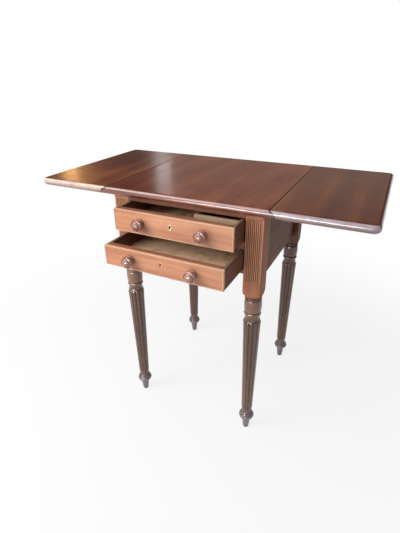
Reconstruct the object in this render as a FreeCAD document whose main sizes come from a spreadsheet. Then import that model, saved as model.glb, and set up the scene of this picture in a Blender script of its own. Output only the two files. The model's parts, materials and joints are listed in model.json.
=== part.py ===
import FreeCAD, Part
import Sketcher
import os
import re

# A two-drawer side table with drop leaves, on turned and reeded legs, in millimetres.
# X runs to the right, Y to the back and Z up. The origin is on the floor, midway between the legs.
# The leaves are up and the drawers partly open.

DRIVING = {
    # Top boards and their rule joints
    "table_height": 725,
    "board_thick": 20,
    "top_depth": 460,
    "joint_half": 223,
    "leaf_width": 225,
    "leaf_corner": 16,
    "nose_flat": 2,
    "rule_fillet": 4,
    "rule_gap": 0.5,
    "joint_gap": 0.4,
    # Leaf hinges
    "knuckle_radius": 3.5,
    "knuckle_gap": 0.4,
    "knuckle_middle": 16,
    "hinge_thick": 2,
    "hinge_length": 44,
    "hinge_reach_top": 34,
    "hinge_reach_leaf": 50,
    "hinge_offset": 130,
    "hinge_pin_radius": 1.5,
    "hinge_pin_gap": 0.05,
    "mortise_gap": 0.3,
    # Wood screws
    "screw_head_radius": 3.2,
    "screw_head_height": 1.7,
    "screw_radius": 1.7,
    "screw_gap": 0.05,
    "hinge_screw_length": 12,
    "hinge_screw_edge": 7,
    "hinge_screw_inset": 14,
    "top_screw_length": 26,
    "fly_screw_length": 24,
    "fly_screw_first": 37.5,
    "fly_screw_edge": 22,
    # Legs
    "leg_axis": 186,
    "post_side": 47,
    "post_length": 205,
    "shoulder_height": 18,
    "shoulder_radius": 20.5,
    "shoulder_bow": 29.5,
    "shoulder_bow_rise": 6,
    "shoulder_clear": 0.05,
    "ring_neck": 20,
    "ring_neck_height": 1.5,
    "ring_radius": 22.5,
    "ring_height": 5,
    "bulb_radius": 23.2,
    "bulb_height": 38,
    "bulb_swell": 17.5,
    "neck_radius": 20.8,
    "collar_radius": 22.9,
    "collar_height": 10.5,
    "cove_radius": 19.5,
    "cove_height": 15.5,
    "cove_rise": 7.5,
    "reed_count": 12,
    "reed_top_radius": 23.3,
    "reed_top_depth": 3,
    "reed_low_radius": 15.8,
    "reed_low_depth": 2.1,
    "waist_radius": 13.6,
    "waist_height": 11,
    "ball_neck": 14.5,
    "ball_radius": 22.6,
    "ball_height": 27,
    "ball_swell": 12.5,
    "foot_height": 39,
    "foot_radius": 13.5,
    "foot_tip": 8.5,
    "pilaster_border": 4.5,
    "pilaster_reeds": 8,
    "pilaster_head": 13,
    "pilaster_foot": 28,
    # Carcass
    "panel_thick": 14,
    "panel_height": 193,
    "tongue": 8,
    "rail_depth": 48,
    "top_rail": 14,
    "upper_opening": 58.5,
    "blade": 20,
    "lower_opening": 54.5,
    "bottom_rail": 11,
    "runner_lap": 22,
    "guide_height": 24,
    "stop_height": 4.5,
    "stop_depth": 18,
    "stop_width": 30,
    "stop_offset": 95,
    "stop_gap": 0.3,
    # Drawers
    "drawer_back_gap": 17,
    "drawer_side_gap": 1,
    "drawer_top_gap": 1,
    "drawer_run_gap": 0.3,
    "upper_open": 66,
    "lower_open": 117,
    "front_thick": 19,
    "dovetail_lap": 7,
    "drawer_wood": 9,
    "back_drop": 4,
    "bottom_thick": 6,
    "bottom_rise": 6,
    "bottom_groove": 4,
    "lining_thick": 0.8,
    "lining_gap": 0.5,
    "bead_wide": 2.5,
    "bead_lap_gap": 1,
    "bead_proud": 1,
    "divider_thick": 6,
    "divider_drop": 6.5,
    "divider_place": 33,
    "divider_setback": 42,
    # Knobs and locks
    "knob_offset": 85,
    "knob_radius": 16,
    "knob_length": 26,
    "knob_collar": 12,
    "knob_collar_thick": 3.5,
    "knob_neck": 8,
    "knob_neck_length": 7.5,
    "knob_edge": 18,
    "knob_swell": 13.6,
    "knob_swell_height": 11.4,
    "knob_stem_radius": 6,
    "knob_stem_gap": 0.05,
    "lock_wide": 52,
    "lock_lift": 5,
    "lock_thick": 9,
    "lock_drop": 6,
    "key_rise": 6,
    "key_radius": 2.6,
    "key_slot": 3.2,
    "key_slot_length": 6,
    "escutcheon_radius": 5,
    "escutcheon_stretch": 8,
    "escutcheon_thick": 2,
    # Swing brackets under the leaves
    "fly_thick": 15,
    "fly_height": 58,
    "fly_gap": 0.4,
    "fly_panel_gap": 1,
    "fly_pivot": 12,
    "fly_tip_gap": 3,
    "fly_tip_height": 26,
    "fly_finger": 20,
    "fly_pin_radius": 3,
    "fly_pin_gap": 0.05,
}


def below(place, *lengths):
    """A formula for a place that lies some lengths below or inside another."""
    return "(%s)" % " - ".join((place,) + lengths)


# Places that several pieces share, each written in the names above
POST_FACE = "(leg_axis + post_side / 2)"
POST_INNER = "(leg_axis - post_side / 2)"
UNDERSIDE = below("table_height", "board_thick")
PIN_HEIGHT = "(%s + knuckle_radius)" % UNDERSIDE
RULE_RADIUS = below("board_thick", "rule_fillet", "knuckle_radius")
NOSE = "((board_thick - nose_flat) / 2)"
PANEL_FACE = below(POST_FACE, "fly_thick", "fly_panel_gap")
PANEL_INNER = below(PANEL_FACE, "panel_thick")
UPPER_TOP = below(UNDERSIDE, "top_rail")
UPPER_FLOOR = below(UPPER_TOP, "upper_opening")
LOWER_TOP = below(UPPER_FLOOR, "blade")
LOWER_FLOOR = below(LOWER_TOP, "lower_opening")
FLY_AXIS = below(POST_FACE, "fly_thick / 2")
DRAWER_LENGTH = "(%s + %s - drawer_back_gap)" % (POST_FACE, PANEL_INNER)

# Heights up a leg: the foot, ball and waist stand on the floor, the rest hangs from the top,
# and the reeded column fills the length between
BALL_TOP = "(foot_height + ball_height)"
WAIST_TOP = "(%s + waist_height)" % BALL_TOP
POST_BOTTOM = below(UNDERSIDE, "post_length")
SHOULDER_BOTTOM = below(POST_BOTTOM, "shoulder_height")
RING_TOP = below(SHOULDER_BOTTOM, "ring_neck_height")
RING_MIDDLE = below(RING_TOP, "ring_height")
BULB_TOP = below(RING_MIDDLE, "ring_height")
BULB_BOTTOM = below(BULB_TOP, "bulb_height")
COLLAR_BOTTOM = below(BULB_BOTTOM, "collar_height")
COVE_BOTTOM = below(COLLAR_BOTTOM, "cove_height")
PILASTER_TOP = below(UNDERSIDE, "pilaster_head")
PILASTER_BOTTOM = "(%s + pilaster_foot)" % POST_BOTTOM

# Two places nearer than this are the same one
SAME_PLACE = 0.01

doc = FreeCAD.newDocument("drop_leaf_side_table")
sheet = doc.addObject("Spreadsheet::Sheet", "sizes")
for row, (alias, value) in enumerate(DRIVING.items(), start=1):
    sheet.set("A%d" % row, alias)
    sheet.set("B%d" % row, str(value))
    sheet.setAlias("B%d" % row, alias)
doc.recompute()

TURNS = {
    "-x": FreeCAD.Rotation(FreeCAD.Vector(0, 1, 0), -90),
    "y": FreeCAD.Rotation(FreeCAD.Vector(1, 0, 0), -90),
    "-y": FreeCAD.Rotation(FreeCAD.Vector(1, 0, 0), 90),
    "z": FreeCAD.Rotation(),
}
sub_parts = []


def formula(text):
    """Point each size name in a formula at its cell in the sheet."""
    return re.sub(
        r"[a-z]\w*",
        lambda word: "sizes." + word.group() if word.group() in DRIVING else word.group(),
        text,
    )


def number(text):
    """The value that a formula has now."""
    return float(sheet.evalExpression(formula(text)))


def keep(shape, label):
    """Name a finished sub-part, which is then written to a file of that name."""
    shape.Label = label
    sub_parts.append(shape)
    return shape


def place(shape, at, axis="z"):
    """Tie a shape's place to formulas, with its own Z axis turned to the given one."""
    shape.Placement = FreeCAD.Placement(FreeCAD.Vector(), TURNS[axis])
    for letter, text in zip("xyz", at):
        shape.setExpression("Placement.Base." + letter, formula(text))
    return shape


def board(name, across, along, up):
    """A squared board between a low and a high formula in X, Y and Z."""
    box = doc.addObject("Part::Box", name)
    for size, (low, high) in zip(("Length", "Width", "Height"), (across, along, up)):
        box.setExpression(size, formula("(%s) - (%s)" % (high, low)))
    return place(box, (across[0], along[0], up[0]))


def rod(name, at, axis, radius, length):
    """A round bar that starts at a point and runs along an axis."""
    bar = doc.addObject("Part::Cylinder", name)
    bar.setExpression("Radius", formula(radius))
    bar.setExpression("Height", formula(length))
    return place(bar, at, axis)


def cut(name, base, *tools):
    """A shape with other shapes taken out of it."""
    result = doc.addObject("Part::Cut", name)
    result.Base = base
    result.Tool = tools[0] if len(tools) == 1 else joined(name + "_tools", *tools)
    return result


def joined(name, *shapes):
    """Shapes fused into one."""
    result = doc.addObject("Part::MultiFuse", name)
    result.Shapes = list(shapes)
    return result


def shared(name, first, second):
    """What two shapes have in common."""
    result = doc.addObject("Part::Common", name)
    result.Base = first
    result.Tool = second
    return result


def group(name, *shapes):
    """Separate solids kept together as one sub-part."""
    result = doc.addObject("Part::Compound", name)
    result.Links = list(shapes)
    return result


def mirrored(name, source):
    """The same piece on the left of the table."""
    result = doc.addObject("Part::Mirroring", name)
    result.Source = source
    result.Normal = FreeCAD.Vector(1, 0, 0)
    return result


def outline(body, name, plane, points, bows=None, offset="0"):
    """A closed sketch through points given as formulas. bows holds, for each stretch that is
    an arc, a point that the arc passes through, under the number of the stretch's first point."""
    bows = bows or {}
    sketch = body.newObject("Sketcher::SketchObject", name)
    support = [part for part in body.Origin.OriginFeatures if part.Role == plane][0]
    sketch.AttachmentSupport = (support, "")
    sketch.MapMode = "FlatFace"
    sketch.setExpression("AttachmentOffset.Base.z", formula(offset))
    spots = [FreeCAD.Vector(number(x), number(y), 0) for x, y in points]
    begins, ends = [], []
    for index, start in enumerate(spots):
        finish = spots[(index + 1) % len(spots)]
        if index in bows:
            middle = FreeCAD.Vector(number(bows[index][0]), number(bows[index][1]), 0)
            edge = sketch.addGeometry(Part.Arc(start, middle, finish))
            turns_left = (middle - start).cross(finish - middle).z > 0
            begins.append((edge, 1 if turns_left else 2))
            ends.append((edge, 2 if turns_left else 1))
        else:
            edge = sketch.addGeometry(Part.LineSegment(start, finish))
            begins.append((edge, 1))
            ends.append((edge, 2))
    for index, (x, y) in enumerate(points):
        constrain(sketch, "Coincident", *ends[index - 1], *begins[index])
        pin_point(sketch, begins[index], (x, y))
    for index, through in bows.items():
        spot = sketch.addGeometry(
            Part.Point(FreeCAD.Vector(number(through[0]), number(through[1]), 0)), True
        )
        constrain(sketch, "PointOnObject", spot, 1, begins[index][0])
        pin_point(sketch, (spot, 1), through)
    return sketch


def constrain(sketch, kind, *values):
    """Add one constraint to a sketch."""
    return sketch.addConstraint(Sketcher.Constraint(kind, *values))


def pin_point(sketch, spot, formulas):
    """Hold a sketch point at formulas measured from the sketch's origin."""
    for kind, text in zip(("DistanceX", "DistanceY"), formulas):
        held = constrain(sketch, kind, -1, 1, *spot, number(text))
        sketch.setExpression("Constraints[%d]" % held, formula(text))


def turned(name, points, bows):
    """A body turned about its own Z axis from an outline of radius and height."""
    body = doc.addObject("PartDesign::Body", name)
    profile = outline(body, name + "_profile", "XZ_Plane", points, bows)
    spin = body.newObject("PartDesign::Revolution", name + "_turning")
    spin.Profile = profile
    spin.ReferenceAxis = (profile, ["V_Axis"])
    spin.Angle = 360
    return body


def padded(name, plane, points, bows, offset, length):
    """A body of one outline carried straight through a length."""
    body = doc.addObject("PartDesign::Body", name)
    profile = outline(body, name + "_outline", plane, points, bows, offset)
    pad = body.newObject("PartDesign::Pad", name + "_pad")
    pad.Profile = profile
    pad.setExpression("Length", formula(length))
    return body


def screw(name, at, axis, length, gap="0"):
    """A countersunk wood screw with its head at a point, or with a gap the hole for one."""
    head = doc.addObject("Part::Cone", name + "_head")
    head.setExpression("Radius1", formula("screw_head_radius + " + gap))
    head.setExpression("Radius2", formula("screw_radius + " + gap))
    head.setExpression("Height", formula("screw_head_height"))
    place(head, at, axis)
    shank = rod(name + "_shank", at, axis, "screw_radius + " + gap, length + " + " + gap)
    return joined(name, head, shank)


def screws(name, places, axis, length):
    """A group of screws, and the holes they fill."""
    made = [screw("%s_%d" % (name, n), at, axis, length) for n, at in enumerate(places)]
    holes = [
        screw("%s_hole_%d" % (name, n), at, axis, length, "screw_gap")
        for n, at in enumerate(places)
    ]
    return group(name, *made), joined(name + "_holes", *holes)


# Side panels and the back, whose ends run into grooves in the posts
def panel_span(inner):
    return ("-(%s) - tongue" % inner, inner + " + tongue")


PANEL_HEIGHT = (below(UNDERSIDE, "panel_height"), UNDERSIDE)
side_panel = board("side_board", (PANEL_INNER, PANEL_FACE), panel_span(POST_INNER), PANEL_HEIGHT)
back_panel = board("back_board", panel_span(POST_INNER), (PANEL_INNER, PANEL_FACE), PANEL_HEIGHT)
keep(back_panel, "back_panel")

# Three rails across the front, with stub tenons into the front posts
RAIL_ALONG = ("-" + POST_FACE, "rail_depth - " + POST_FACE)
TENON_ALONG = (
    "rail_depth / 4 - " + POST_FACE,
    "3 * rail_depth / 4 - " + POST_FACE,
)


def rail(name, low, high):
    """A front rail: a board between the posts with a narrower tenon through its length."""
    body = board(name + "_body", ("-" + POST_INNER, POST_INNER), RAIL_ALONG, (low, high))
    tenon = board(name + "_tenon", panel_span(POST_INNER), TENON_ALONG, (low, high))
    return joined(name + "_solid", body, tenon)


top_rail = rail("top_rail", UPPER_TOP, UNDERSIDE)
blade = keep(rail("drawer_blade", LOWER_TOP, UPPER_FLOOR), "drawer_blade")
bottom_rail = rail("bottom_rail", LOWER_FLOOR + " - bottom_rail", LOWER_FLOOR)
keep(bottom_rail, "bottom_rail")


# Legs: a turned and reeded column under a square post
def leg_blank(name):
    """A whole leg about its own axis, before its joints are cut."""
    points = [
        ("0", "0"),
        ("foot_tip", "0"),
        ("foot_radius", "foot_height"),
        ("ball_neck", BALL_TOP),
        ("waist_radius", WAIST_TOP),
        ("reed_low_radius - reed_low_depth", WAIST_TOP),
        ("reed_top_radius - reed_top_depth", COVE_BOTTOM),
        ("reed_top_radius", COVE_BOTTOM),
        ("neck_radius", COLLAR_BOTTOM),
        ("neck_radius", BULB_BOTTOM),
        ("ring_neck", BULB_TOP),
        ("ring_neck", RING_MIDDLE),
        ("ring_neck", RING_TOP),
        ("shoulder_radius", SHOULDER_BOTTOM),
        ("shoulder_radius", POST_BOTTOM),
        ("0", POST_BOTTOM),
    ]
    bows = {
        2: ("ball_radius", "foot_height + ball_swell"),
        7: ("cove_radius", COVE_BOTTOM + " + cove_rise"),
        8: ("collar_radius", COLLAR_BOTTOM + " + collar_height / 2"),
        9: ("bulb_radius", BULB_BOTTOM + " + bulb_swell"),
        10: ("ring_radius", BULB_TOP + " + ring_height / 2"),
        11: ("ring_radius", RING_MIDDLE + " + ring_height / 2"),
    }
    body = turned(name, points, bows)
    reeds = [reed_section(body, name, "low", WAIST_TOP), reed_section(body, name, "top", COVE_BOTTOM)]
    column = body.newObject("PartDesign::AdditiveLoft", name + "_reeds")
    column.Profile = reeds[0]
    column.Sections = [reeds[1]]
    column.Ruled = True
    half = "post_side / 2"
    square = [("-" + half, "-" + half), (half, "-" + half), (half, half), ("-" + half, half)]
    post = body.newObject("PartDesign::Pad", name + "_post")
    post.Profile = outline(body, name + "_square", "XY_Plane", square, offset=SHOULDER_BOTTOM)
    post.setExpression("Length", formula(below(UNDERSIDE, SHOULDER_BOTTOM)))
    corner = [
        ("shoulder_radius", SHOULDER_BOTTOM),
        ("post_side", SHOULDER_BOTTOM),
        ("post_side", POST_BOTTOM),
        ("post_side / sqrt(2) + shoulder_clear", POST_BOTTOM),
    ]
    bow = {3: ("shoulder_bow", SHOULDER_BOTTOM + " + shoulder_bow_rise")}
    shoulder = body.newObject("PartDesign::Groove", name + "_shoulder")
    shoulder.Profile = outline(body, name + "_corner", "XZ_Plane", corner, bow)
    shoulder.ReferenceAxis = (shoulder.Profile[0], ["V_Axis"])
    shoulder.Angle = 360
    body.Tip = shoulder
    return body


def polar(radius, degrees):
    """Formulas for a point at a radius and an angle about the axis."""
    return tuple("%s * %s(%.6f deg)" % (radius, way, degrees) for way in ("cos", "sin"))


def reed_section(body, name, end, height):
    """One end of the reeded column: an arc for each reed between points in the valleys."""
    count = int(DRIVING["reed_count"])
    crest = "reed_%s_radius" % end
    valley = "(%s - reed_%s_depth)" % (crest, end)
    points, bows = [], {}
    for reed in range(count):
        points.append(polar(valley, 360 * reed / count))
        bows[reed] = polar(crest, 360 * (reed + 0.5) / count)
    return outline(body, "%s_reeds_%s" % (name, end), "XY_Plane", points, bows, height)


def pilaster(name, blank):
    """A leg whose front face has a sunk panel of upright reeds."""
    low, high = POST_INNER + " + pilaster_border", POST_FACE + " - pilaster_border"
    pitch = "(post_side - 2 * pilaster_border) / pilaster_reeds"
    radius = pitch + " / 2"
    sunk = board(
        name + "_sunk",
        (low, high),
        ("-" + POST_FACE, radius + " - " + POST_FACE),
        (PILASTER_BOTTOM, PILASTER_TOP),
    )
    reeds = []
    for reed in range(int(DRIVING["pilaster_reeds"])):
        spot = ("%s + (%d + 0.5) * %s" % (low, reed, pitch), radius + " - " + POST_FACE, PILASTER_BOTTOM)
        length = below(PILASTER_TOP, PILASTER_BOTTOM)
        reeds.append(rod("%s_reed_%d" % (name, reed), spot, "z", radius, length))
    return joined(name + "_reeded", cut(name + "_sunk_face", blank, sunk), *reeds)


front_blank = place(leg_blank("front_leg"), ("leg_axis", "-leg_axis", "0"))
back_blank = place(leg_blank("back_leg"), ("leg_axis", "leg_axis", "0"))
leg_front = cut(
    "front_leg_jointed",
    pilaster("front_leg", front_blank),
    side_panel,
    top_rail,
    blade,
    bottom_rail,
)
leg_back = cut("back_leg_jointed", back_blank, side_panel, back_panel)
keep(leg_front, "leg_front_right")
keep(mirrored("front_leg_left", leg_front), "leg_front_left")
keep(leg_back, "leg_back_right")
keep(mirrored("back_leg_left", leg_back), "leg_back_left")

# Runners that carry the drawers, guides beside them, and kickers above the upper one
BETWEEN_POSTS = ("-" + POST_INNER, POST_INNER)
RUNNER_ACROSS = (POST_INNER + " - runner_lap", PANEL_INNER)
GUIDE_ACROSS = (POST_INNER, PANEL_INNER)


def pair(label, *pieces):
    """The pieces on the right and their copies on the left, as one sub-part."""
    copies = [mirrored(piece.Name + "_left", piece) for piece in pieces]
    return keep(group(label + "_pair", *pieces, *copies), label)


RUNNER_ALONG = ("rail_depth - " + POST_FACE, POST_INNER)


def runner(name, low, high):
    """A strip along the side of the case, notched round the front post."""
    strip = board(name + "_strip", RUNNER_ACROSS, RUNNER_ALONG, (low, high))
    notch = board(name + "_notch", GUIDE_ACROSS, ("-" + POST_FACE, "-" + POST_INNER), (low, high))
    return cut(name, strip, notch)


pair("upper_runners", runner("upper_runner", LOWER_TOP, UPPER_FLOOR))
pair("lower_runners", runner("lower_runner", LOWER_FLOOR + " - bottom_rail", LOWER_FLOOR))
pair(
    "drawer_guides",
    board("upper_guide", GUIDE_ACROSS, BETWEEN_POSTS, (UPPER_FLOOR, UPPER_FLOOR + " + guide_height")),
    board("lower_guide", GUIDE_ACROSS, BETWEEN_POSTS, (LOWER_FLOOR, LOWER_FLOOR + " + guide_height")),
)
kicker = runner("kicker", UPPER_TOP, UNDERSIDE)


# Stops behind each drawer front
def stop(name, floor):
    """A block that the inside of a drawer front meets when it is shut."""
    across = ("stop_offset - stop_width / 2", "stop_offset + stop_width / 2")
    start = "front_thick + stop_gap - " + POST_FACE
    return board(name, across, (start, start + " + stop_depth"), (floor, floor + " + stop_height"))


pair("drawer_stops", stop("upper_stop", UPPER_FLOOR), stop("lower_stop", LOWER_FLOOR))


# Centre board: a rule-joint profile along its length, with rounded front and back edges
def centre_blank():
    """The centre board before its hinges are let in."""
    reach = "joint_half + " + RULE_RADIUS
    bow = "joint_half + %s * sqrt(0.5)" % RULE_RADIUS
    bow_height = PIN_HEIGHT + " + %s * sqrt(0.5)" % RULE_RADIUS
    step = "table_height - rule_fillet"
    points = [
        ("-(%s)" % reach, UNDERSIDE),
        (reach, UNDERSIDE),
        (reach, PIN_HEIGHT),
        ("joint_half", step),
        ("joint_half", "table_height"),
        ("-joint_half", "table_height"),
        ("-joint_half", step),
        ("-(%s)" % reach, PIN_HEIGHT),
    ]
    bows = {2: (bow, bow_height), 6: ("-(%s)" % bow, bow_height)}
    length = padded("centre_profile", "XZ_Plane", points, bows, "-top_depth / 2", "top_depth")
    edge, inner = "top_depth / 2", below("top_depth / 2", NOSE)
    cheek = NOSE + " * (1 - sqrt(0.5))"
    low, high = UNDERSIDE, "table_height"
    nosing = [
        ("-" + inner, low),
        (inner, low),
        (edge, low + " + " + NOSE),
        (edge, below(high, NOSE)),
        (inner, high),
        ("-" + inner, high),
        ("-" + edge, below(high, NOSE)),
        ("-" + edge, low + " + " + NOSE),
    ]
    back, front = "%s - %s" % (edge, cheek), "%s - %s" % (cheek, edge)
    under, over = "%s + %s" % (low, cheek), "%s - %s" % (high, cheek)
    bends = {1: (back, under), 3: (back, over), 5: (front, over), 7: (front, under)}
    width = padded("centre_nosing", "YZ_Plane", nosing, bends, "-(%s)" % reach, "2 * (%s)" % reach)
    return shared("centre_blank", length, width)


def leaf_blank():
    """The right leaf: a plan with two round corners, rounded on three edges and coved on the fourth."""
    start, edge = "joint_half + joint_gap", "joint_half + leaf_width"
    side, bend = "top_depth / 2", "leaf_corner * (1 - sqrt(0.5))"
    body = doc.addObject("PartDesign::Body", "leaf_plan")
    points = [
        (start, "-" + side),
        (edge + " - leaf_corner", "-" + side),
        (edge, "leaf_corner - " + side),
        (edge, side + " - leaf_corner"),
        (edge + " - leaf_corner", side),
        (start, side),
    ]
    bows = {
        1: (edge + " - " + bend, bend + " - " + side),
        3: (edge + " - " + bend, side + " - " + bend),
    }
    pad = body.newObject("PartDesign::Pad", "leaf_pad")
    pad.Profile = outline(body, "leaf_outline", "XY_Plane", points, bows, UNDERSIDE)
    pad.setExpression("Length", formula("board_thick"))
    doc.recompute()
    level = [number(UNDERSIDE), number("table_height")]
    rim = [
        "Edge%d" % (index + 1)
        for index, edge_shape in enumerate(pad.Shape.Edges)
        if min(abs(edge_shape.CenterOfMass.z - z) for z in level) < SAME_PLACE
        and edge_shape.CenterOfMass.x > number(start) + SAME_PLACE
    ]
    nose = body.newObject("PartDesign::Fillet", "leaf_nose")
    nose.Base = (pad, rim)
    nose.setExpression("Radius", formula(NOSE))
    body.Tip = nose
    along = "top_depth + board_thick"
    middle = ("joint_half", "-(%s) / 2" % along, PIN_HEIGHT)
    cove = rod("leaf_cove", middle, "y", RULE_RADIUS + " + rule_gap", along)
    under = board(
        "leaf_under",
        ("0", "joint_half + %s + rule_gap" % RULE_RADIUS),
        (middle[1], "(%s) / 2" % along),
        ("0", PIN_HEIGHT),
    )
    return cut("leaf_blank", body, cove, under)


# Leaf hinges: flush plates whose knuckles are sunk in the rule joint
HINGE_PLACES = ("-hinge_offset", "hinge_offset")
PLATE_UP = (UNDERSIDE, UNDERSIDE + " + hinge_thick")


def span(centre, length):
    """A low and a high formula either side of a centre."""
    return ("%s - (%s) / 2" % (centre, length), "%s + (%s) / 2" % (centre, length))


def knuckle(name, start, length):
    """One barrel of a hinge, along the joint."""
    return rod(name, ("joint_half", start, PIN_HEIGHT), "y", "knuckle_radius", length)


def pin_hole(name, centre):
    """The bore through a hinge's barrels."""
    start = ("joint_half", span(centre, "hinge_length")[0], PIN_HEIGHT)
    return rod(name, start, "y", "hinge_pin_radius + hinge_pin_gap", "hinge_length")


def hinge_pieces(number_of, centre):
    """The top plate, leaf plate and pin of one hinge."""
    name = "hinge_%d" % number_of
    low, high = span(centre, "hinge_length")
    room = "knuckle_radius + knuckle_gap"
    middle = span(centre, "knuckle_middle")
    wide_middle = span(centre, "knuckle_middle + 2 * knuckle_gap")
    top_across = ("joint_half - hinge_reach_top", "joint_half")
    top_plate = board(name + "_top_flat", top_across, (low, high), PLATE_UP)
    top_notch = board(
        name + "_top_notch",
        ("joint_half - (%s)" % room, "joint_half + " + room),
        wide_middle,
        (UNDERSIDE, "table_height"),
    )
    end_length = "(hinge_length - knuckle_middle) / 2 - knuckle_gap"
    top_solid = joined(
        name + "_top_joined",
        top_plate,
        knuckle(name + "_first", low, end_length),
        knuckle(name + "_last", wide_middle[1], end_length),
    )
    leaf_start = "joint_half + " + room
    leaf_across = (leaf_start, "joint_half + hinge_reach_leaf")
    leaf_plate = board(name + "_leaf_flat", leaf_across, (low, high), PLATE_UP)
    leaf_link = board(name + "_leaf_link", ("joint_half", leaf_start), middle, PLATE_UP)
    leaf_solid = joined(
        name + "_leaf_joined",
        leaf_plate,
        leaf_link,
        knuckle(name + "_middle", middle[0], "knuckle_middle"),
    )
    pin = rod(name + "_pin", ("joint_half", low, PIN_HEIGHT), "y", "hinge_pin_radius", "hinge_length")
    top_hole, leaf_hole = pin_hole(name + "_top_hole", centre), pin_hole(name + "_leaf_hole", centre)
    top = cut(name + "_top", top_solid, top_notch, top_hole)
    return top, cut(name + "_leaf", leaf_solid, leaf_hole), pin


def hinge_bed(name, centre):
    """What one hinge needs cut in the boards: a groove for its barrels, a mortise for its plates."""
    length = "hinge_length + 2 * mortise_gap"
    low, high = span(centre, length)
    start = ("joint_half", low, PIN_HEIGHT)
    groove = rod(name + "_groove", start, "y", "knuckle_radius + mortise_gap", length)
    across = ("joint_half - hinge_reach_top - mortise_gap", "joint_half + hinge_reach_leaf + mortise_gap")
    mortise = board(name + "_mortise", across, (low, high), (PLATE_UP[0], PLATE_UP[1] + " + mortise_gap"))
    return joined(name, groove, mortise)


def plate_screws(side, reach):
    """Places for the three screws of each plate on one side of the pin."""
    places = []
    for centre in HINGE_PLACES:
        outer = "joint_half %s (%s - hinge_screw_edge)" % (side, reach)
        inner = "joint_half %s (%s - hinge_screw_edge - hinge_screw_inset)" % (side, reach)
        places.append((outer, span(centre, "hinge_length - 2 * hinge_screw_edge")[0], UNDERSIDE))
        places.append((outer, span(centre, "hinge_length - 2 * hinge_screw_edge")[1], UNDERSIDE))
        places.append((inner, centre, UNDERSIDE))
    return places


hinges = [hinge_pieces(n, centre) for n, centre in enumerate(HINGE_PLACES)]
beds = joined("hinge_beds", *[hinge_bed("hinge_bed_%d" % n, c) for n, c in enumerate(HINGE_PLACES)])
top_plate_screws, top_plate_holes = screws(
    "top_plate_screws", plate_screws("-", "hinge_reach_top"), "z", "hinge_screw_length"
)
leaf_plate_screws, leaf_plate_holes = screws(
    "leaf_plate_screws", plate_screws("+", "hinge_reach_leaf"), "z", "hinge_screw_length"
)
top_plates = cut("top_plates", group("top_plate_blanks", *[h[0] for h in hinges]), top_plate_holes)
leaf_plates = cut("leaf_plates", group("leaf_plate_blanks", *[h[1] for h in hinges]), leaf_plate_holes)
pair("hinge_top_plates", top_plates)
pair("hinge_pins", *[h[2] for h in hinges])
pair("hinge_top_screws", top_plate_screws)
keep(leaf_plates, "hinge_leaf_plates_right")
keep(mirrored("leaf_plates_left", leaf_plates), "hinge_leaf_plates_left")
keep(leaf_plate_screws, "hinge_leaf_screws_right")
keep(mirrored("leaf_plate_screws_left", leaf_plate_screws), "hinge_leaf_screws_left")

leaf_right = cut("leaf_hinged", leaf_blank(), beds, leaf_plate_holes)
keep(leaf_right, "leaf_right")
keep(mirrored("leaf_hinged_left", leaf_right), "leaf_left")

# The centre board is held by screws up through the kickers and the top rail
rail_middle = "rail_depth / 2 - " + POST_FACE
kicker_middle = POST_INNER + " - runner_lap / 2"
side_places = [(kicker_middle, "0", UPPER_TOP), (kicker_middle, POST_INNER + " / 2", UPPER_TOP)]
rail_places = [("0", rail_middle, UPPER_TOP), (POST_INNER + " / 2", rail_middle, UPPER_TOP)]
kicker_screws, kicker_holes = screws("kicker_screws", side_places, "z", "top_screw_length")
rail_screws, rail_holes = screws("rail_screws", rail_places, "z", "top_screw_length")
outer_rail_screw = mirrored("outer_rail_screw", doc.getObject("rail_screws_1"))
outer_rail_hole = mirrored("outer_rail_hole", doc.getObject("rail_screws_hole_1"))
top_holes = joined("top_holes", kicker_holes, rail_holes)
left_kicker_screws = mirrored("kicker_screws_left", kicker_screws)
top_fixings = group("top_fixings", kicker_screws, left_kicker_screws, rail_screws, outer_rail_screw)
keep(top_fixings, "top_screws")
pair("kickers", cut("kicker_drilled", kicker, kicker_holes))
keep(cut("top_rail_drilled", top_rail, rail_holes, outer_rail_hole), "top_rail")
centre_cuts = joined("centre_cuts", beds, top_plate_holes, top_holes)
centre = cut("centre_hinged", centre_blank(), centre_cuts, mirrored("centre_cuts_left", centre_cuts))
keep(centre, "centre_top")

# Swing brackets: each turns on a pin through the fingers of a rail fixed to the side panel
FLY_UP = (UNDERSIDE + " - fly_height", UNDERSIDE)
FLY_PIN_FOOT = (FLY_AXIS, "fly_pivot", FLY_UP[0])
FINGER_LOW = UNDERSIDE + " - fly_height / 2 - fly_finger / 2"
FINGER_HIGH = UNDERSIDE + " - fly_height / 2 + fly_finger / 2"


def fly_barrel(name, low, high, extra):
    """A round about the bracket's pin, between two heights, with an extra radius."""
    start = (FLY_AXIS, "fly_pivot", low)
    return rod(name, start, "z", "fly_thick / 2 + " + extra, "(%s) - (%s)" % (high, low))


def fly_rail():
    """The fixed rail behind the pivot, with an upper and a lower finger."""
    clear = "fly_pivot + fly_thick / 2 + fly_gap"
    body = board("fly_rail_body", (PANEL_FACE, POST_FACE), (clear, POST_INNER), FLY_UP)
    links = board("fly_rail_link", (PANEL_FACE, FLY_AXIS), ("fly_pivot", clear), FLY_UP)
    fingers = fly_barrel("fly_rail_fingers", *FLY_UP, "0")
    gap = ("%s - fly_gap" % FINGER_LOW, "%s + fly_gap" % FINGER_HIGH)
    slot = fly_barrel("fly_rail_slot", *gap, "fly_gap")
    return cut("fly_rail_blank", joined("fly_rail_joined", body, links, fingers), slot)


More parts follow.
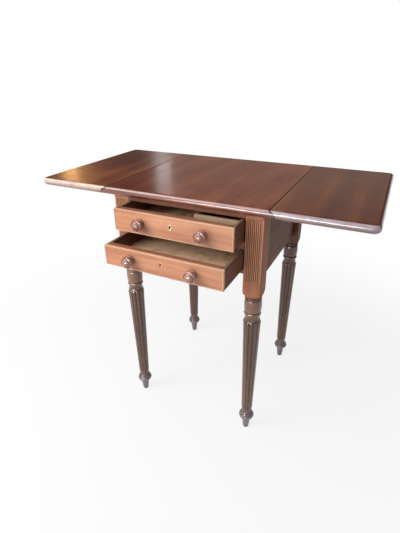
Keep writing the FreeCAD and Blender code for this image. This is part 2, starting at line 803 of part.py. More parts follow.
def fly_bracket():
    """The swinging bracket, folded against the side: its underside rises towards the tip."""
    tip = "fly_tip_gap - " + POST_INNER
    low, high = FLY_UP[0] + " + fly_gap", FLY_UP[1] + " - fly_gap"
    rise = high + " - fly_tip_height"
    straight = "fly_pivot - (fly_pivot - (%s)) / 2" % tip
    points = [(tip, rise), (straight, low), ("fly_pivot", low), ("fly_pivot", high), (tip, high)]
    middle = "((%s) + (%s)) / 2" % (tip, straight)
    bows = {0: (middle, "(%s) - (fly_height - fly_tip_height) / 3" % rise)}
    arm = padded("fly_arm", "YZ_Plane", points, bows, POST_FACE + " - fly_thick", "fly_thick")
    round_end = fly_barrel("fly_arm_end", low, high, "0")
    upper = fly_barrel("fly_arm_upper", FINGER_HIGH, "table_height", "fly_gap")
    lower = fly_barrel("fly_arm_lower", FLY_UP[0] + " - fly_gap", FINGER_LOW, "fly_gap")
    bore = rod("fly_arm_bore", FLY_PIN_FOOT, "z", "fly_pin_radius + fly_pin_gap", "fly_height")
    return cut("fly_bracket", joined("fly_arm_joined", arm, round_end), upper, lower, bore)


fly_pin = rod("fly_pin", FLY_PIN_FOOT, "z", "fly_pin_radius", "fly_height")
fly_pin_bore = rod("fly_pin_bore", FLY_PIN_FOOT, "z", "fly_pin_radius + fly_pin_gap", "fly_height")
first_screw, last_screw = "fly_pivot + fly_screw_first", below(POST_INNER, "fly_screw_edge")
fly_screw_places = [
    (POST_FACE, along, below(UNDERSIDE, "fly_height / 2"))
    for along in (first_screw, "(%s + %s) / 2" % (first_screw, last_screw), last_screw)
]
fly_screws, fly_holes = screws("fly_screws", fly_screw_places, "-x", "fly_screw_length")
rail_right = cut("fly_rail_drilled", fly_rail(), fly_pin_bore, fly_holes)
keep(rail_right, "fly_rail_right")
keep(mirrored("fly_rail_drilled_left", rail_right), "fly_rail_left")
bracket_right = fly_bracket()
keep(bracket_right, "fly_bracket_right")
keep(mirrored("fly_bracket_mirrored", bracket_right), "fly_bracket_left")
pair("fly_pins", fly_pin)
pair("fly_rail_screws", fly_screws)
panel_right = cut("side_board_drilled", side_panel, fly_holes)
keep(panel_right, "side_panel_right")
keep(mirrored("side_board_left", panel_right), "side_panel_left")


# Drawers
def knob(label, at):
    """A turned knob with a stem through the drawer front."""
    stem = "-front_thick"
    points = [
        ("0", stem),
        ("knob_stem_radius", stem),
        ("knob_stem_radius", "0"),
        ("knob_collar", "0"),
        ("knob_collar", "knob_collar_thick"),
        ("knob_neck", "knob_collar_thick"),
        ("knob_neck", "knob_neck_length"),
        ("knob_radius", "knob_edge"),
        ("0", "knob_length"),
    ]
    dome = "(knob_length - knob_edge)"
    dome_radius = "((knob_radius ^ 2 + %s ^ 2) / (2 * %s))" % (dome, dome)
    dome_height = "knob_length - %s + sqrt(%s ^ 2 - knob_radius ^ 2 / 4)" % (dome_radius, dome_radius)
    bows = {6: ("knob_swell", "knob_swell_height"), 7: ("knob_radius / 2", dome_height)}
    return keep(place(turned(label + "_body", points, bows), at, "-y"), label)


def keyhole(name, face, up, depth):
    """The opening for a key: a round with a slot below it."""
    start = ("0", face, up)
    eye = rod(name + "_eye", start, "y", "key_radius", depth)
    slot = board(
        name + "_slot",
        ("-key_slot / 2", "key_slot / 2"),
        (face, face + " + " + depth),
        (up + " - key_slot_length", up),
    )
    return joined(name, eye, slot)


def escutcheon(name, face, up):
    """A long round-ended plate let in round the keyhole."""
    middle = "(%s) - key_slot_length / 2" % up
    ends = span(middle, "escutcheon_stretch")
    rods = [
        rod(name + "_end_%d" % n, ("0", face, end), "y", "escutcheon_radius", "escutcheon_thick")
        for n, end in enumerate(ends)
    ]
    across = ("-escutcheon_radius", "escutcheon_radius")
    flat = board(name + "_flat", across, (face, face + " + escutcheon_thick"), ends)
    return joined(name, flat, *rods)


def drawer(name, floor, ceiling, opened):
    """One drawer, drawn forward by its opening."""
    face = "(-%s - %s)" % (POST_FACE, opened)
    low, high = "(%s + drawer_run_gap)" % floor, "(%s - drawer_top_gap)" % ceiling
    half = "(%s - drawer_side_gap)" % POST_INNER
    inside = "(%s - drawer_wood)" % half
    rear = "%s + %s" % (face, DRAWER_LENGTH)
    back_face = rear + " - drawer_wood"
    behind_front = face + " + front_thick"
    floor_low = low + " + bottom_rise"
    floor_high = floor_low + " + bottom_thick"
    wide = ("-" + half, half)
    front_board = board(name + "_front_board", wide, (face, behind_front), (low, high))
    side = board(
        name + "_side_board", (inside, half), (face + " + dovetail_lap", rear), (low, high)
    )
    side_left = mirrored(name + "_side_left_board", side)
    base = board(
        name + "_bottom_board",
        ("-%s - bottom_groove" % inside, inside + " + bottom_groove"),
        (behind_front + " - bottom_groove", rear),
        (floor_low, floor_high),
    )
    back_up = (floor_high, high + " - back_drop")
    back = board(name + "_back_board", ("-" + inside, inside), (back_face, rear), back_up)
    lining = board(
        name + "_lining_sheet",
        ("lining_gap - " + inside, inside + " - lining_gap"),
        (behind_front + " + lining_gap", back_face + " - lining_gap"),
        (floor_high, floor_high + " + lining_thick"),
    )
    bead_low, bead_high = face + " - bead_proud", face + " + dovetail_lap - bead_lap_gap"
    bead_outer = board(name + "_bead_outer", wide, (bead_low, bead_high), (low, high))
    bead_inner = board(
        name + "_bead_inner",
        ("bead_wide - " + half, half + " - bead_wide"),
        (bead_low, bead_high),
        (low + " + bead_wide", high + " - bead_wide"),
    )
    bead = cut(name + "_bead_frame", bead_outer, bead_inner)
    middle = "(%s + %s) / 2" % (low, high)
    key_up = "(%s + key_rise)" % middle
    lock = board(
        name + "_lock_case",
        ("-lock_wide / 2", "lock_wide / 2"),
        (behind_front + " - lock_thick", behind_front),
        (floor_high + " + lock_lift", high + " - lock_drop"),
    )
    plate = escutcheon(name + "_plate", face, key_up)
    key = keyhole(name + "_key", face, key_up, "front_thick - lock_thick")
    bores = []
    for hand, sign in (("left", "-"), ("right", "")):
        centre = (sign + "knob_offset", face, middle)
        knob("%s_knob_%s" % (name, hand), centre)
        radius = "knob_stem_radius + knob_stem_gap"
        bores.append(rod("%s_bore_%s" % (name, hand), centre, "y", radius, "front_thick"))
    beds = joined(name + "_front_cuts", side, side_left, base, bead, lock, plate, key, *bores)
    keep(cut(name + "_front_jointed", front_board, beds), name + "_front")
    side_right = cut(name + "_side_grooved", side, base)
    keep(side_right, name + "_side_right")
    keep(mirrored(name + "_side_grooved_left", side_right), name + "_side_left")
    keep(back, name + "_back")
    keep(base, name + "_bottom")
    keep(lining, name + "_lining")
    keep(bead, name + "_bead")
    keep(lock, name + "_lock")
    keep(cut(name + "_plate_pierced", plate, key), name + "_escutcheon")
    upright = (floor_high + " + lining_thick", high + " - divider_drop")
    return inside, behind_front, back_face, upright


inside, start, finish, divider_up = drawer("upper_drawer", UPPER_FLOOR, UPPER_TOP, "upper_open")
drawer("lower_drawer", LOWER_FLOOR, LOWER_TOP, "lower_open")
cross_start = start + " + divider_setback"
cross_divider = board(
    "cross_divider", ("divider_place", inside), (cross_start, cross_start + " + divider_thick"), divider_up
)
long_divider = board(
    "long_divider",
    ("divider_place", "divider_place + divider_thick"),
    (cross_start + " + divider_thick", finish),
    divider_up,
)
keep(group("upper_dividers", cross_divider, long_divider), "upper_drawer_dividers")

doc.recompute()
for item in doc.Objects:
    if "Invalid" in item.State or "Error" in item.State:
        raise RuntimeError("%s failed: %s" % (item.Name, item.State))
for part in sub_parts:
    if part.Shape.isNull() or not part.Shape.isValid():
        raise RuntimeError("%s has no valid shape" % part.Label)
os.makedirs("parts", exist_ok=True)
for part in sub_parts:
    part.Shape.exportStep("parts/%s.step" % part.Label)
print("%d sub-parts, %d solids" % (len(sub_parts), sum(len(part.Shape.Solids) for part in sub_parts)))
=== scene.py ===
import json
import math
import bmesh
import bpy
import numpy as np
from mathutils import Matrix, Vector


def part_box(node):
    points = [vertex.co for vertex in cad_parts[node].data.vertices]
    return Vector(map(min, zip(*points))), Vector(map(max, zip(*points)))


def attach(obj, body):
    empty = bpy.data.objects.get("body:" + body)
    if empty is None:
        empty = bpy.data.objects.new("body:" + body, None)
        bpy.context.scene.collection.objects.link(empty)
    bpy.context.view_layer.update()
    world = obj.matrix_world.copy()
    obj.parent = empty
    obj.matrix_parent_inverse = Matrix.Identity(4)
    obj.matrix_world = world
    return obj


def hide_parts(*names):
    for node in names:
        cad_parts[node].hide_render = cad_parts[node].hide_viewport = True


# A drop-leaf side table: the fixed frame gives every place, the pieces below give the looks.
# Metres throughout, X to the right, Y to the back, Z up.

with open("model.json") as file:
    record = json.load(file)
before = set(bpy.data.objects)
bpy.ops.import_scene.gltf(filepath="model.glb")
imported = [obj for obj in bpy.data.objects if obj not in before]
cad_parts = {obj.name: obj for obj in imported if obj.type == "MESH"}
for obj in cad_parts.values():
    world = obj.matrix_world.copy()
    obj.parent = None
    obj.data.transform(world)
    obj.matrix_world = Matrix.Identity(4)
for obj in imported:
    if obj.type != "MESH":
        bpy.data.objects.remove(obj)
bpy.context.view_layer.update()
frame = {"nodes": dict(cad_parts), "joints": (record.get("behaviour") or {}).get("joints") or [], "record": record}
nodes = frame["nodes"]
scene = bpy.context.scene
mm = 0.001
print("frame:", len(nodes), "nodes")

# Surfaces

weldGap = 2e-6  # points nearer than this are one point


# Grid of points, rows by columns, as quads: each point joins the next in its row
# and the same place in the next row
def skin(points, closeRows=False):
    points = np.asarray(points, float)
    rowCount, columnCount = points.shape[:2]
    row, column = np.meshgrid(
        np.arange(rowCount if closeRows else rowCount - 1), np.arange(columnCount), indexing="ij"
    )
    nextRow, nextColumn = (row + 1) % rowCount, (column + 1) % columnCount
    corners = [(row, column), (row, nextColumn), (nextRow, nextColumn), (nextRow, column)]
    quads = np.stack([r * columnCount + c for r, c in corners], axis=-1).reshape(-1, 4)
    verts = points.reshape(-1, 3)
    # the sign of the enclosed volume tells whether the quads face out
    a, b, c, d = (verts[quads[:, k]] - verts.mean(0) for k in range(4))
    volume = (a * np.cross(b, c)).sum() + (a * np.cross(c, d)).sum()
    return verts, quads if volume > 0 else quads[:, ::-1]


# Rows that shrink from an outline to its middle, which closes a flat end
def flatEnd(outline, shares=(0.96, 0.7, 0.35, 0.0)):
    middle = (outline.min(0) + outline.max(0)) / 2
    return [middle + (outline - middle) * share for share in shares]


# Piece: its skins as one welded mesh, which rides on a body, has a slot and stands for CAD nodes
def makePiece(name, skins, material, body, replaced=(), sharpAngle=38, upper=None):
    starts = np.cumsum([0] + [len(verts) for verts, quads in skins])
    verts = np.concatenate([verts for verts, quads in skins])
    quads = np.concatenate([quads + start for (v, quads), start in zip(skins, starts)])
    mesh = bpy.data.meshes.new(name)
    mesh.vertices.add(len(verts))
    mesh.vertices.foreach_set("co", verts.astype(np.float32).ravel())
    mesh.loops.add(quads.size)
    mesh.loops.foreach_set("vertex_index", quads.astype(np.int32).ravel())
    mesh.polygons.add(len(quads))
    mesh.polygons.foreach_set("loop_start", np.arange(0, quads.size, 4, dtype=np.int32))
    mesh.update(calc_edges=True)
    welded = bmesh.new()  # closes the seams and poles
    welded.from_mesh(mesh)
    bmesh.ops.remove_doubles(welded, verts=welded.verts, dist=weldGap)
    bmesh.ops.dissolve_degenerate(welded, edges=welded.edges, dist=weldGap)
    welded.to_mesh(mesh)
    welded.free()
    mesh.shade_smooth()
    mesh.set_sharp_from_angle(angle=math.radians(sharpAngle))
    mesh.materials.append(material)
    if upper:  # a second finish from a height upwards
        mesh.materials.append(upper[0])
        centres = np.empty(3 * len(mesh.polygons))
        mesh.polygons.foreach_get("center", centres)
        mesh.polygons.foreach_set("material_index", (centres[2::3] > upper[1]).astype(np.int32))
    piece = bpy.data.objects.new(name, mesh)
    scene.collection.objects.link(piece)
    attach(piece, body)
    if replaced:
        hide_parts(*replaced)
    return piece


# Top boards: three boards with rounded noses and rule joints between them

boards = {
    "nose": 9.0 * mm, "arris": 1.3 * mm, "ruleRadius": 12.5 * mm, "ruleGap": 0.5 * mm, "jointGap": 0.4 * mm,
    "corner": 16.0 * mm, "lift": 0.4 * mm,  # the underside stands clear of the hinge plates let into it
    "arcSteps": 9, "edgeSteps": 22, "decimals": 7,  # levels equal to so many decimals are one
    # how dark the dirt in the joints is, how far it reaches from their lines, and where the edges begin,
    # as shares of the nose's radius
    "dirt": 0.92, "dirtNear": 1.1 * mm, "dirtFar": 2.3 * mm, "edgeSpan": (1.0, 0.7),
}
joints = {joint["name"]: joint for joint in frame["joints"]}
quarter = np.linspace(0, math.pi / 2, boards["arcSteps"])
topLow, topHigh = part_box("centre_top")
topHalf = topHigh.y
jointHalf, pinHeight = joints["leaf_right_hinge"]["pos_m"][0], joints["leaf_right_hinge"]["pos_m"][2]


# Levels up the board: close together round the nose, the rule joint and the upper arris
def boardLevels(ruleRadius):
    rounds = boards["nose"] * (1 - np.cos(quarter))
    arris = topHigh.z - boards["arris"] * (1 - np.sin(quarter))
    rule = pinHeight + ruleRadius * np.sin(quarter)
    levels = np.concatenate([topLow.z + rounds, topHigh.z - rounds, arris, rule])
    levels = np.clip(levels, topLow.z + boards["lift"], topHigh.z)
    return np.unique(np.round(levels, boards["decimals"]))


# How far a round edge stands back at each level: its radius less the half chord there
def roundInset(levels, radius, low, high):
    reach = np.clip(np.maximum(low + radius - levels, levels - high + radius), 0, radius)
    return radius - np.sqrt(radius ** 2 - reach ** 2)


# The joint's edge at each level: plumb below the pin, a quarter round about it, then plumb to the arris
def ruleEdge(levels, ruleRadius, start, side):
    reach = np.clip(levels - pinHeight, 0, ruleRadius)
    bow = jointHalf + np.sqrt(ruleRadius ** 2 - reach ** 2)
    arris = side * roundInset(levels, boards["arris"], -math.inf, topHigh.z)  # rounded above alone
    return np.where(levels < pinHeight + ruleRadius - weldGap, np.maximum(bow, start), start + arris)


# Slab: outlines one after the other, with a flat end before the first and after the last
def closedSlab(outlines):
    rows = flatEnd(outlines[0])[::-1] + list(outlines) + flatEnd(outlines[-1])
    return skin(np.array(rows))


# Centre board: at each level an oblong, as wide as the rule joint and as long as the nose allow there
def centreBoard():
    levels = boardLevels(boards["ruleRadius"])
    across = ruleEdge(levels, boards["ruleRadius"], jointHalf, -1)[:, None]
    along = (topHalf - roundInset(levels, boards["nose"], topLow.z, topHigh.z))[:, None]
    step = np.linspace(-1, 1, boards["edgeSteps"], endpoint=False)
    one = np.ones_like(step)
    u = np.concatenate([step, one, -step, -one])
    v = np.concatenate([-one, step, one, -step])
    level = np.broadcast_to(levels[:, None], (len(levels), len(u)))
    return closedSlab(np.stack([across * u, along * v, level], axis=-1))


# Leaf: the same levels, coved beside the joint and with two round corners on its far edge
def leafBoard(side):
    ruleRadius = boards["ruleRadius"] + boards["ruleGap"]
    levels = boardLevels(ruleRadius)
    inner = ruleEdge(levels, ruleRadius, jointHalf + boards["jointGap"], 1)[:, None]
    inset = roundInset(levels, boards["nose"], topLow.z, topHigh.z)[:, None]
    outer, half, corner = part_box("leaf_right")[1].x - inset, topHalf - inset, boards["corner"] - inset
    step = np.linspace(0, 1, boards["edgeSteps"], endpoint=False)
    bend = np.linspace(0, math.pi / 2, boards["arcSteps"], endpoint=False)
    shoulder = outer - corner
    x = [inner + (shoulder - inner) * step, shoulder + corner * np.sin(bend), outer + 0 * step,
         shoulder + corner * np.cos(bend), shoulder + (inner - shoulder) * step, inner + 0 * step]
    end = half - corner
    y = [-half + 0 * step, -end - corner * np.cos(bend), -end + 2 * end * step,
         end + corner * np.sin(bend), half + 0 * step, half - 2 * half * step]
    x, y = np.concatenate(x, axis=1), np.concatenate(y, axis=1)
    return closedSlab(np.stack([side * x, y, np.broadcast_to(levels[:, None], x.shape)], axis=-1))


# Materials

grainTurns = {"x": (0, math.pi / 2, 0), "y": (math.pi / 2, 0, 0), "z": (0, 0, 0)}


# One material's node tree, with short calls for the nodes used here
class Nodes:
    def __init__(self, name):
        self.material = bpy.data.materials.new(name)
        self.material.use_nodes = True
        self.tree = self.material.node_tree
        self.tree.nodes.clear()
        self.output = self.tree.nodes.new("ShaderNodeOutputMaterial")

    def add(self, kind, inputs=None, **settings):
        node = self.tree.nodes.new("ShaderNode" + kind)
        for key, value in settings.items():
            setattr(node, key, value)
        for key, value in (inputs or {}).items():
            if isinstance(value, bpy.types.NodeSocket):
                self.tree.links.new(value, node.inputs[key])
            else:
                node.inputs[key].default_value = value
        return node

    def math(self, operation, first, second=0.0):
        return self.add("Math", {0: first, 1: second}, operation=operation).outputs[0]

    def mix(self, share, first, second, blend="MIX"):
        node = self.add("Mix", {0: share, 6: first, 7: second}, data_type="RGBA", blend_type=blend)
        return node.outputs[2]

    def ramp(self, value, stops):
        node = self.add("ValToRGB", {0: value})
        elements = node.color_ramp.elements
        for place, colour in stops[1:-1]:
            elements.new(place)
        for element, (place, colour) in zip(elements, stops):
            element.position = place
            element.color = (*colour, 1)
        return node.outputs[0]

    def range(self, value, low, high, toLow, toHigh):
        inputs = {0: value, 1: low, 2: high, 3: toLow, 4: toHigh}
        return self.add("MapRange", inputs, interpolation_type="SMOOTHSTEP").outputs[0]

    def noise(self, vector, scale, detail=3.0, roughness=0.55, distortion=0.0):
        inputs = {"Vector": vector, "Scale": scale, "Detail": detail}
        inputs.update({"Roughness": roughness, "Distortion": distortion})
        return self.add("TexNoise", inputs).outputs[0]

    def finish(self, shader):
        self.tree.links.new(shader, self.output.inputs[0])
        return self.material


# Wood: what all its finishes share; a noise gives its scale, detail, roughness and distortion
woodGrain = {
    "ringBend": 5.0, "ringDetail": 3.0, "ringDetailScale": 1.6,
    "figure": (4.0, 0.6, 0.6),  # its scale is each look's own
    "cloud": (4.5, 2.0, 0.5), "smear": (16.0, 4.0, 0.6), "fine": (160.0, 3.0),
    "streaks": (240.0, 3.0, 0.7), "streakStretch": 0.03, "streakRelief": 0.5,
    "pores": (900.0, 1.0), "poreStretch": 0.05, "poreSpan": (0.60, 0.70),
    "rubSpan": (0.45, 0.95), "grimeSpan": (0.35, 0.95), "smearSpan": (0.3, 0.7),
    "upFacing": (0.6, 0.9), "frontFacing": (-0.8, -0.3),
    "shadeSamples": 8, "bumpHigh": 0.2 * mm, "ior": 1.45,
}


# Broad clouds, growth rings and streaks drawn out along the grain, pores, grime and painted shade in
# hollows, dirt in joints, rubbed arrises with painted highlights, painted light and shade by facing and
# height, a keyhole painted black with painted shade, and a coat of varnish
def wood(name, look):
    made = Nodes(name)
    place = made.add("TexCoord").outputs["Object"]
    along = made.add("Mapping", {0: place, 1: look["shift"], 2: grainTurns[look["grain"]]}).outputs[0]

    def drawnOut(stretch):
        return made.add("Mapping", {0: along, 3: (1, 1, stretch)}).outputs[0]

    long = drawnOut(look["stretch"])
    waves = {
        "Vector": long, "Scale": look["rings"], "Distortion": woodGrain["ringBend"],
        "Detail": woodGrain["ringDetail"], "Detail Scale": woodGrain["ringDetailScale"],
    }
    rings = made.add("TexWave", waves, wave_type="RINGS", rings_direction="Z").outputs[1]
    figure = made.noise(long, look["figure"], *woodGrain["figure"])
    cloud = made.noise(place, *woodGrain["cloud"])
    streaks = made.noise(drawnOut(woodGrain["streakStretch"]), *woodGrain["streaks"])
    pores = made.noise(drawnOut(woodGrain["poreStretch"]), *woodGrain["pores"])
    tone = 0.5  # the middle of the ramp, moved by each pattern's distance from its own middle
    for pattern, share in ((rings, look["ringShare"]), (figure, look["figureShare"]),
                           (cloud, look["cloudShare"]), (streaks, look["streakShare"])):
        tone = made.math("ADD", tone, made.math("MULTIPLY", made.math("SUBTRACT", pattern, 0.5), share))
    colour = made.ramp(tone, [(0.0, look["dark"]), (0.5, look["middle"]), (1.0, look["light"])])
    poreMark = made.range(pores, *woodGrain["poreSpan"], 0.0, 1.0)
    colour = made.mix(made.math("MULTIPLY", poreMark, look["pores"]), colour, (*look["dark"], 1))
    height = made.add("SeparateXYZ", {0: place}).outputs[2]
    # painted highlights: the turnings are lightened at the reed heads and at the foot
    for low, high, lowShare, highShare, tint in look["tints"]:  # turned work is lighter at head and foot
        colour = made.mix(made.range(height, low, high, lowShare, highShare), colour, (*tint, 1))

    def openness(reach, inside):
        settings = {"samples": woodGrain["shadeSamples"], "inside": inside}
        return made.add("AmbientOcclusion", {"Distance": reach}, **settings).outputs["AO"]

    # rubbed arrises: partly wear, partly a painted highlight that lightens convex edges and reed crests
    wornAndLit = made.range(openness(look["rubReach"], True), *woodGrain["rubSpan"], 1.0, 0.0)
    colour = made.mix(made.math("MULTIPLY", wornAndLit, look["rub"]), colour, (*look["rubColour"], 1))
    # grime and painted shade: hollows are darkened where shade falls, with grime
    grime = made.range(openness(look["grimeReach"], False), *woodGrain["grimeSpan"], 1.0, 0.0)
    colour = made.mix(made.math("MULTIPLY", grime, look["grime"]), colour, (*look["grimeColour"], 1))
    facing = made.add("SeparateXYZ", {0: made.add("NewGeometry").outputs["Normal"]}).outputs
    if look["topEdge"]:  # painted light and shade: faces turned up take their own colour, painted shade on the drawer fronts' upper edges and painted light on the drawer sides' upper edges
        share = made.range(facing[2], *woodGrain["upFacing"], 0.0, look["topEdge"])
        colour = made.mix(share, colour, (*look["topEdgeColour"], 1))
    if look["sideShade"]:  # painted shade: faces turned away from the front are darkened
        share = made.range(facing[1], *woodGrain["frontFacing"], 0.0, look["sideShade"])
        colour = made.mix(share, colour, (*look["sideColour"], 1), "MULTIPLY")
    if look["keyhole"]:  # painted shade: the inside of the keyhole is painted black
        share = made.add("VectorMath", {0: place, 1: look["keyhole"]}, operation="DISTANCE").outputs["Value"]
        share = made.range(share, keyholeShade["near"], keyholeShade["far"], 1.0, 0.0)
        colour = made.mix(share, colour, (*grimeColour, 1))
    if look["joint"]:
        # painted highlight along the nosing, then dirt in the rule joints
        colour = made.mix(noseHighlight(made, place, look), colour, (*look["rubColour"], 1))
        colour = made.mix(jointGrime(made, place), colour, (*grimeColour, 1))
    smear = made.noise(place, *woodGrain["smear"])
    fine = made.noise(place, *woodGrain["fine"])
    dull = made.range(smear, *woodGrain["smearSpan"], look["gloss"], look["gloss"] + look["smear"])
    rough = made.math("ADD", dull, made.math("MULTIPLY", fine, look["haze"]))
    relief = made.math("SUBTRACT", made.math("MULTIPLY", streaks, woodGrain["streakRelief"]), poreMark)
    raised = {"Strength": look["relief"], "Distance": woodGrain["bumpHigh"], "Height": relief}
    shader = made.add("BsdfPrincipled", {
        "Base Color": colour, "Roughness": rough, "Normal": made.add("Bump", raised).outputs[0],
        "IOR": woodGrain["ior"], "Specular IOR Level": look["specular"], "Coat Weight": look["coat"],
        "Coat Roughness": look["coatRough"], "Coat IOR": woodGrain["ior"],
    })
    return made.finish(shader.outputs[0])


# Dirt in the rule joints: near the joint's line on the upper face, and near its quarter round
# on the front and back edges
def jointGrime(made, place):
    split = made.add("SeparateXYZ", {0: place}).outputs
    across = made.math("SUBTRACT", made.math("ABSOLUTE", split[0]), jointHalf)
    above = made.math("SUBTRACT", split[2], pinHeight)
    near, far = boards["dirtNear"], boards["dirtFar"]
    ruleMiddle = boards["ruleRadius"] + boards["ruleGap"] / 2

    def close(distance):
        return made.range(made.math("ABSOLUTE", distance), near, far, 1.0, 0.0)

    def both(first, second):
        return made.math("MULTIPLY", first, second)

    line = both(close(across), made.math("GREATER_THAN", above, boards["ruleRadius"] - near))
    squares = made.math("ADD", made.math("POWER", across, 2.0), made.math("POWER", above, 2.0))
    bow = close(made.math("SUBTRACT", made.math("SQRT", squares), ruleMiddle))
    outside = both(made.math("GREATER_THAN", across, 0.0), made.math("GREATER_THAN", above, 0.0))
    drop = both(close(made.math("SUBTRACT", across, ruleMiddle)), made.math("LESS_THAN", above, 0.0))
    edgeStart, edgeEnd = (topHalf - share * boards["nose"] for share in boards["edgeSpan"])
    edge = made.range(made.math("ABSOLUTE", split[1]), edgeStart, edgeEnd, 0.0, 1.0)
    ends = both(made.math("MAXIMUM", both(bow, outside), drop), edge)
    return both(made.math("MAXIMUM", line, ends), boards["dirt"])


# Painted highlight on the nosing: a patchy light band round the boards' edges, faint away from the front edge
noseHighlightBand = {
    "patches": (22.0, 3.0), "patchSpan": (0.35, 0.6), "patchLeast": 0.78,
    "frontSpan": (12.0 * mm, 4.0 * mm), "elsewhere": 0.25,  # from the front edge: where it is faint, and full
}


def noseHighlight(made, place, look):
    split = made.add("SeparateXYZ", {0: place}).outputs
    upper, middle, lower = (topHigh.z - share * boards["nose"] for share in look["noseSpan"])
    faint, full = (reach - topHalf for reach in noseHighlightBand["frontSpan"])
    wornAndLit = made.range(made.noise(place, *noseHighlightBand["patches"]), *noseHighlightBand["patchSpan"], noseHighlightBand["patchLeast"], 1.0)
    factors = (
        made.range(split[2], lower, middle, 0.0, 1.0), made.range(split[2], middle, upper, 1.0, 0.0),
        made.range(split[1], faint, full, noseHighlightBand["elsewhere"], 1.0), look["noseWear"],
    )
    for factor in factors:
        wornAndLit = made.math("MULTIPLY", wornAndLit, factor)
    return wornAndLit


# Middle of a drawer's keyhole, behind its escutcheon
def keyholeMiddle(drawer):
    low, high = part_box(drawer + "_escutcheon")
    return ((low.x + high.x) / 2, low.y + keyholeShade["deep"], (low.z + high.z) / 2)


keyholeShade = {"deep": 5.0 * mm, "near": 4.5 * mm, "far": 4.8 * mm}
grimeColour = (0.016, 0.008, 0.005)
woodBase = {
    "shift": (0.0, 0.0, 0.0), "grain": "z", "stretch": 0.14, "rings": 16.0, "figure": 9.0,
    "ringShare": 0.25, "figureShare": 1.0, "cloudShare": 0.8, "streakShare": 0.5, "pores": 0.35,
    "dark": (0.12, 0.050, 0.029), "middle": (0.20, 0.088, 0.052), "light": (0.29, 0.140, 0.086),
    "rubReach": 0.0022, "rub": 0.35, "rubColour": (0.34, 0.185, 0.125),
    "grimeReach": 0.006, "grime": 0.8, "grimeColour": grimeColour, "gloss": 0.26, "smear": 0.1, "haze": 0.05,
    "relief": 0.10, "specular": 0.5,
    "coat": 0.3, "coatRough": 0.14, "joint": False, "keyhole": None, "tints": (),
    "sideShade": 0.0, "sideColour": (0.66, 0.68, 0.60),
    "topEdge": 0.0, "topEdgeColour": (0.20, 0.075, 0.042),
}
topLook = {
    **woodBase, "grain": "y", "stretch": 0.09, "rings": 9.0, "ringShare": 0.18, "figure": 16.0,
    "figureShare": 1.6, "cloudShare": 1.0, "streakShare": 0.45, "pores": 0.12,
    "dark": (0.062, 0.013, 0.010), "middle": (0.166, 0.036, 0.016), "light": (0.29, 0.086, 0.031),
    # where the painted highlight band ends above, is strongest and ends below: shares of the nose under the upper
    # face
    "rub": 0.0, "noseWear": 0.65, "noseSpan": (0.02, 0.2, 0.8),
    "rubColour": (0.60, 0.46, 0.43), "gloss": 0.30, "smear": 0.05, "haze": 0.0,
    "relief": 0.004, "coat": 1.0, "coatRough": 0.17, "joint": True,
}
frontLook = {
    **woodBase, "grain": "x", "figure": 20.0, "ringShare": 0.1, "figureShare": 1.1, "cloudShare": 0.9,
    "streakShare": 0.35, "pores": 0.12,
    "dark": (0.27, 0.094, 0.045), "middle": (0.515, 0.224, 0.115), "light": (0.72, 0.37, 0.215),
    "rub": 0.25, "rubColour": (0.76, 0.48, 0.32), "gloss": 0.42, "relief": 0.04, "coat": 0.0, "specular": 0.3,
    "topEdge": 0.85,
}
turnedLook = {
    **woodBase, "figure": 18.0, "gloss": 0.18, "coat": 0.4, "coatRough": 0.10, "grime": 0.5,
    "grimeReach": 0.004, "rub": 0.6, "rubColour": (0.34, 0.20, 0.15),
    "dark": (0.072, 0.032, 0.020), "middle": (0.122, 0.057, 0.036), "light": (0.20, 0.100, 0.066),
}
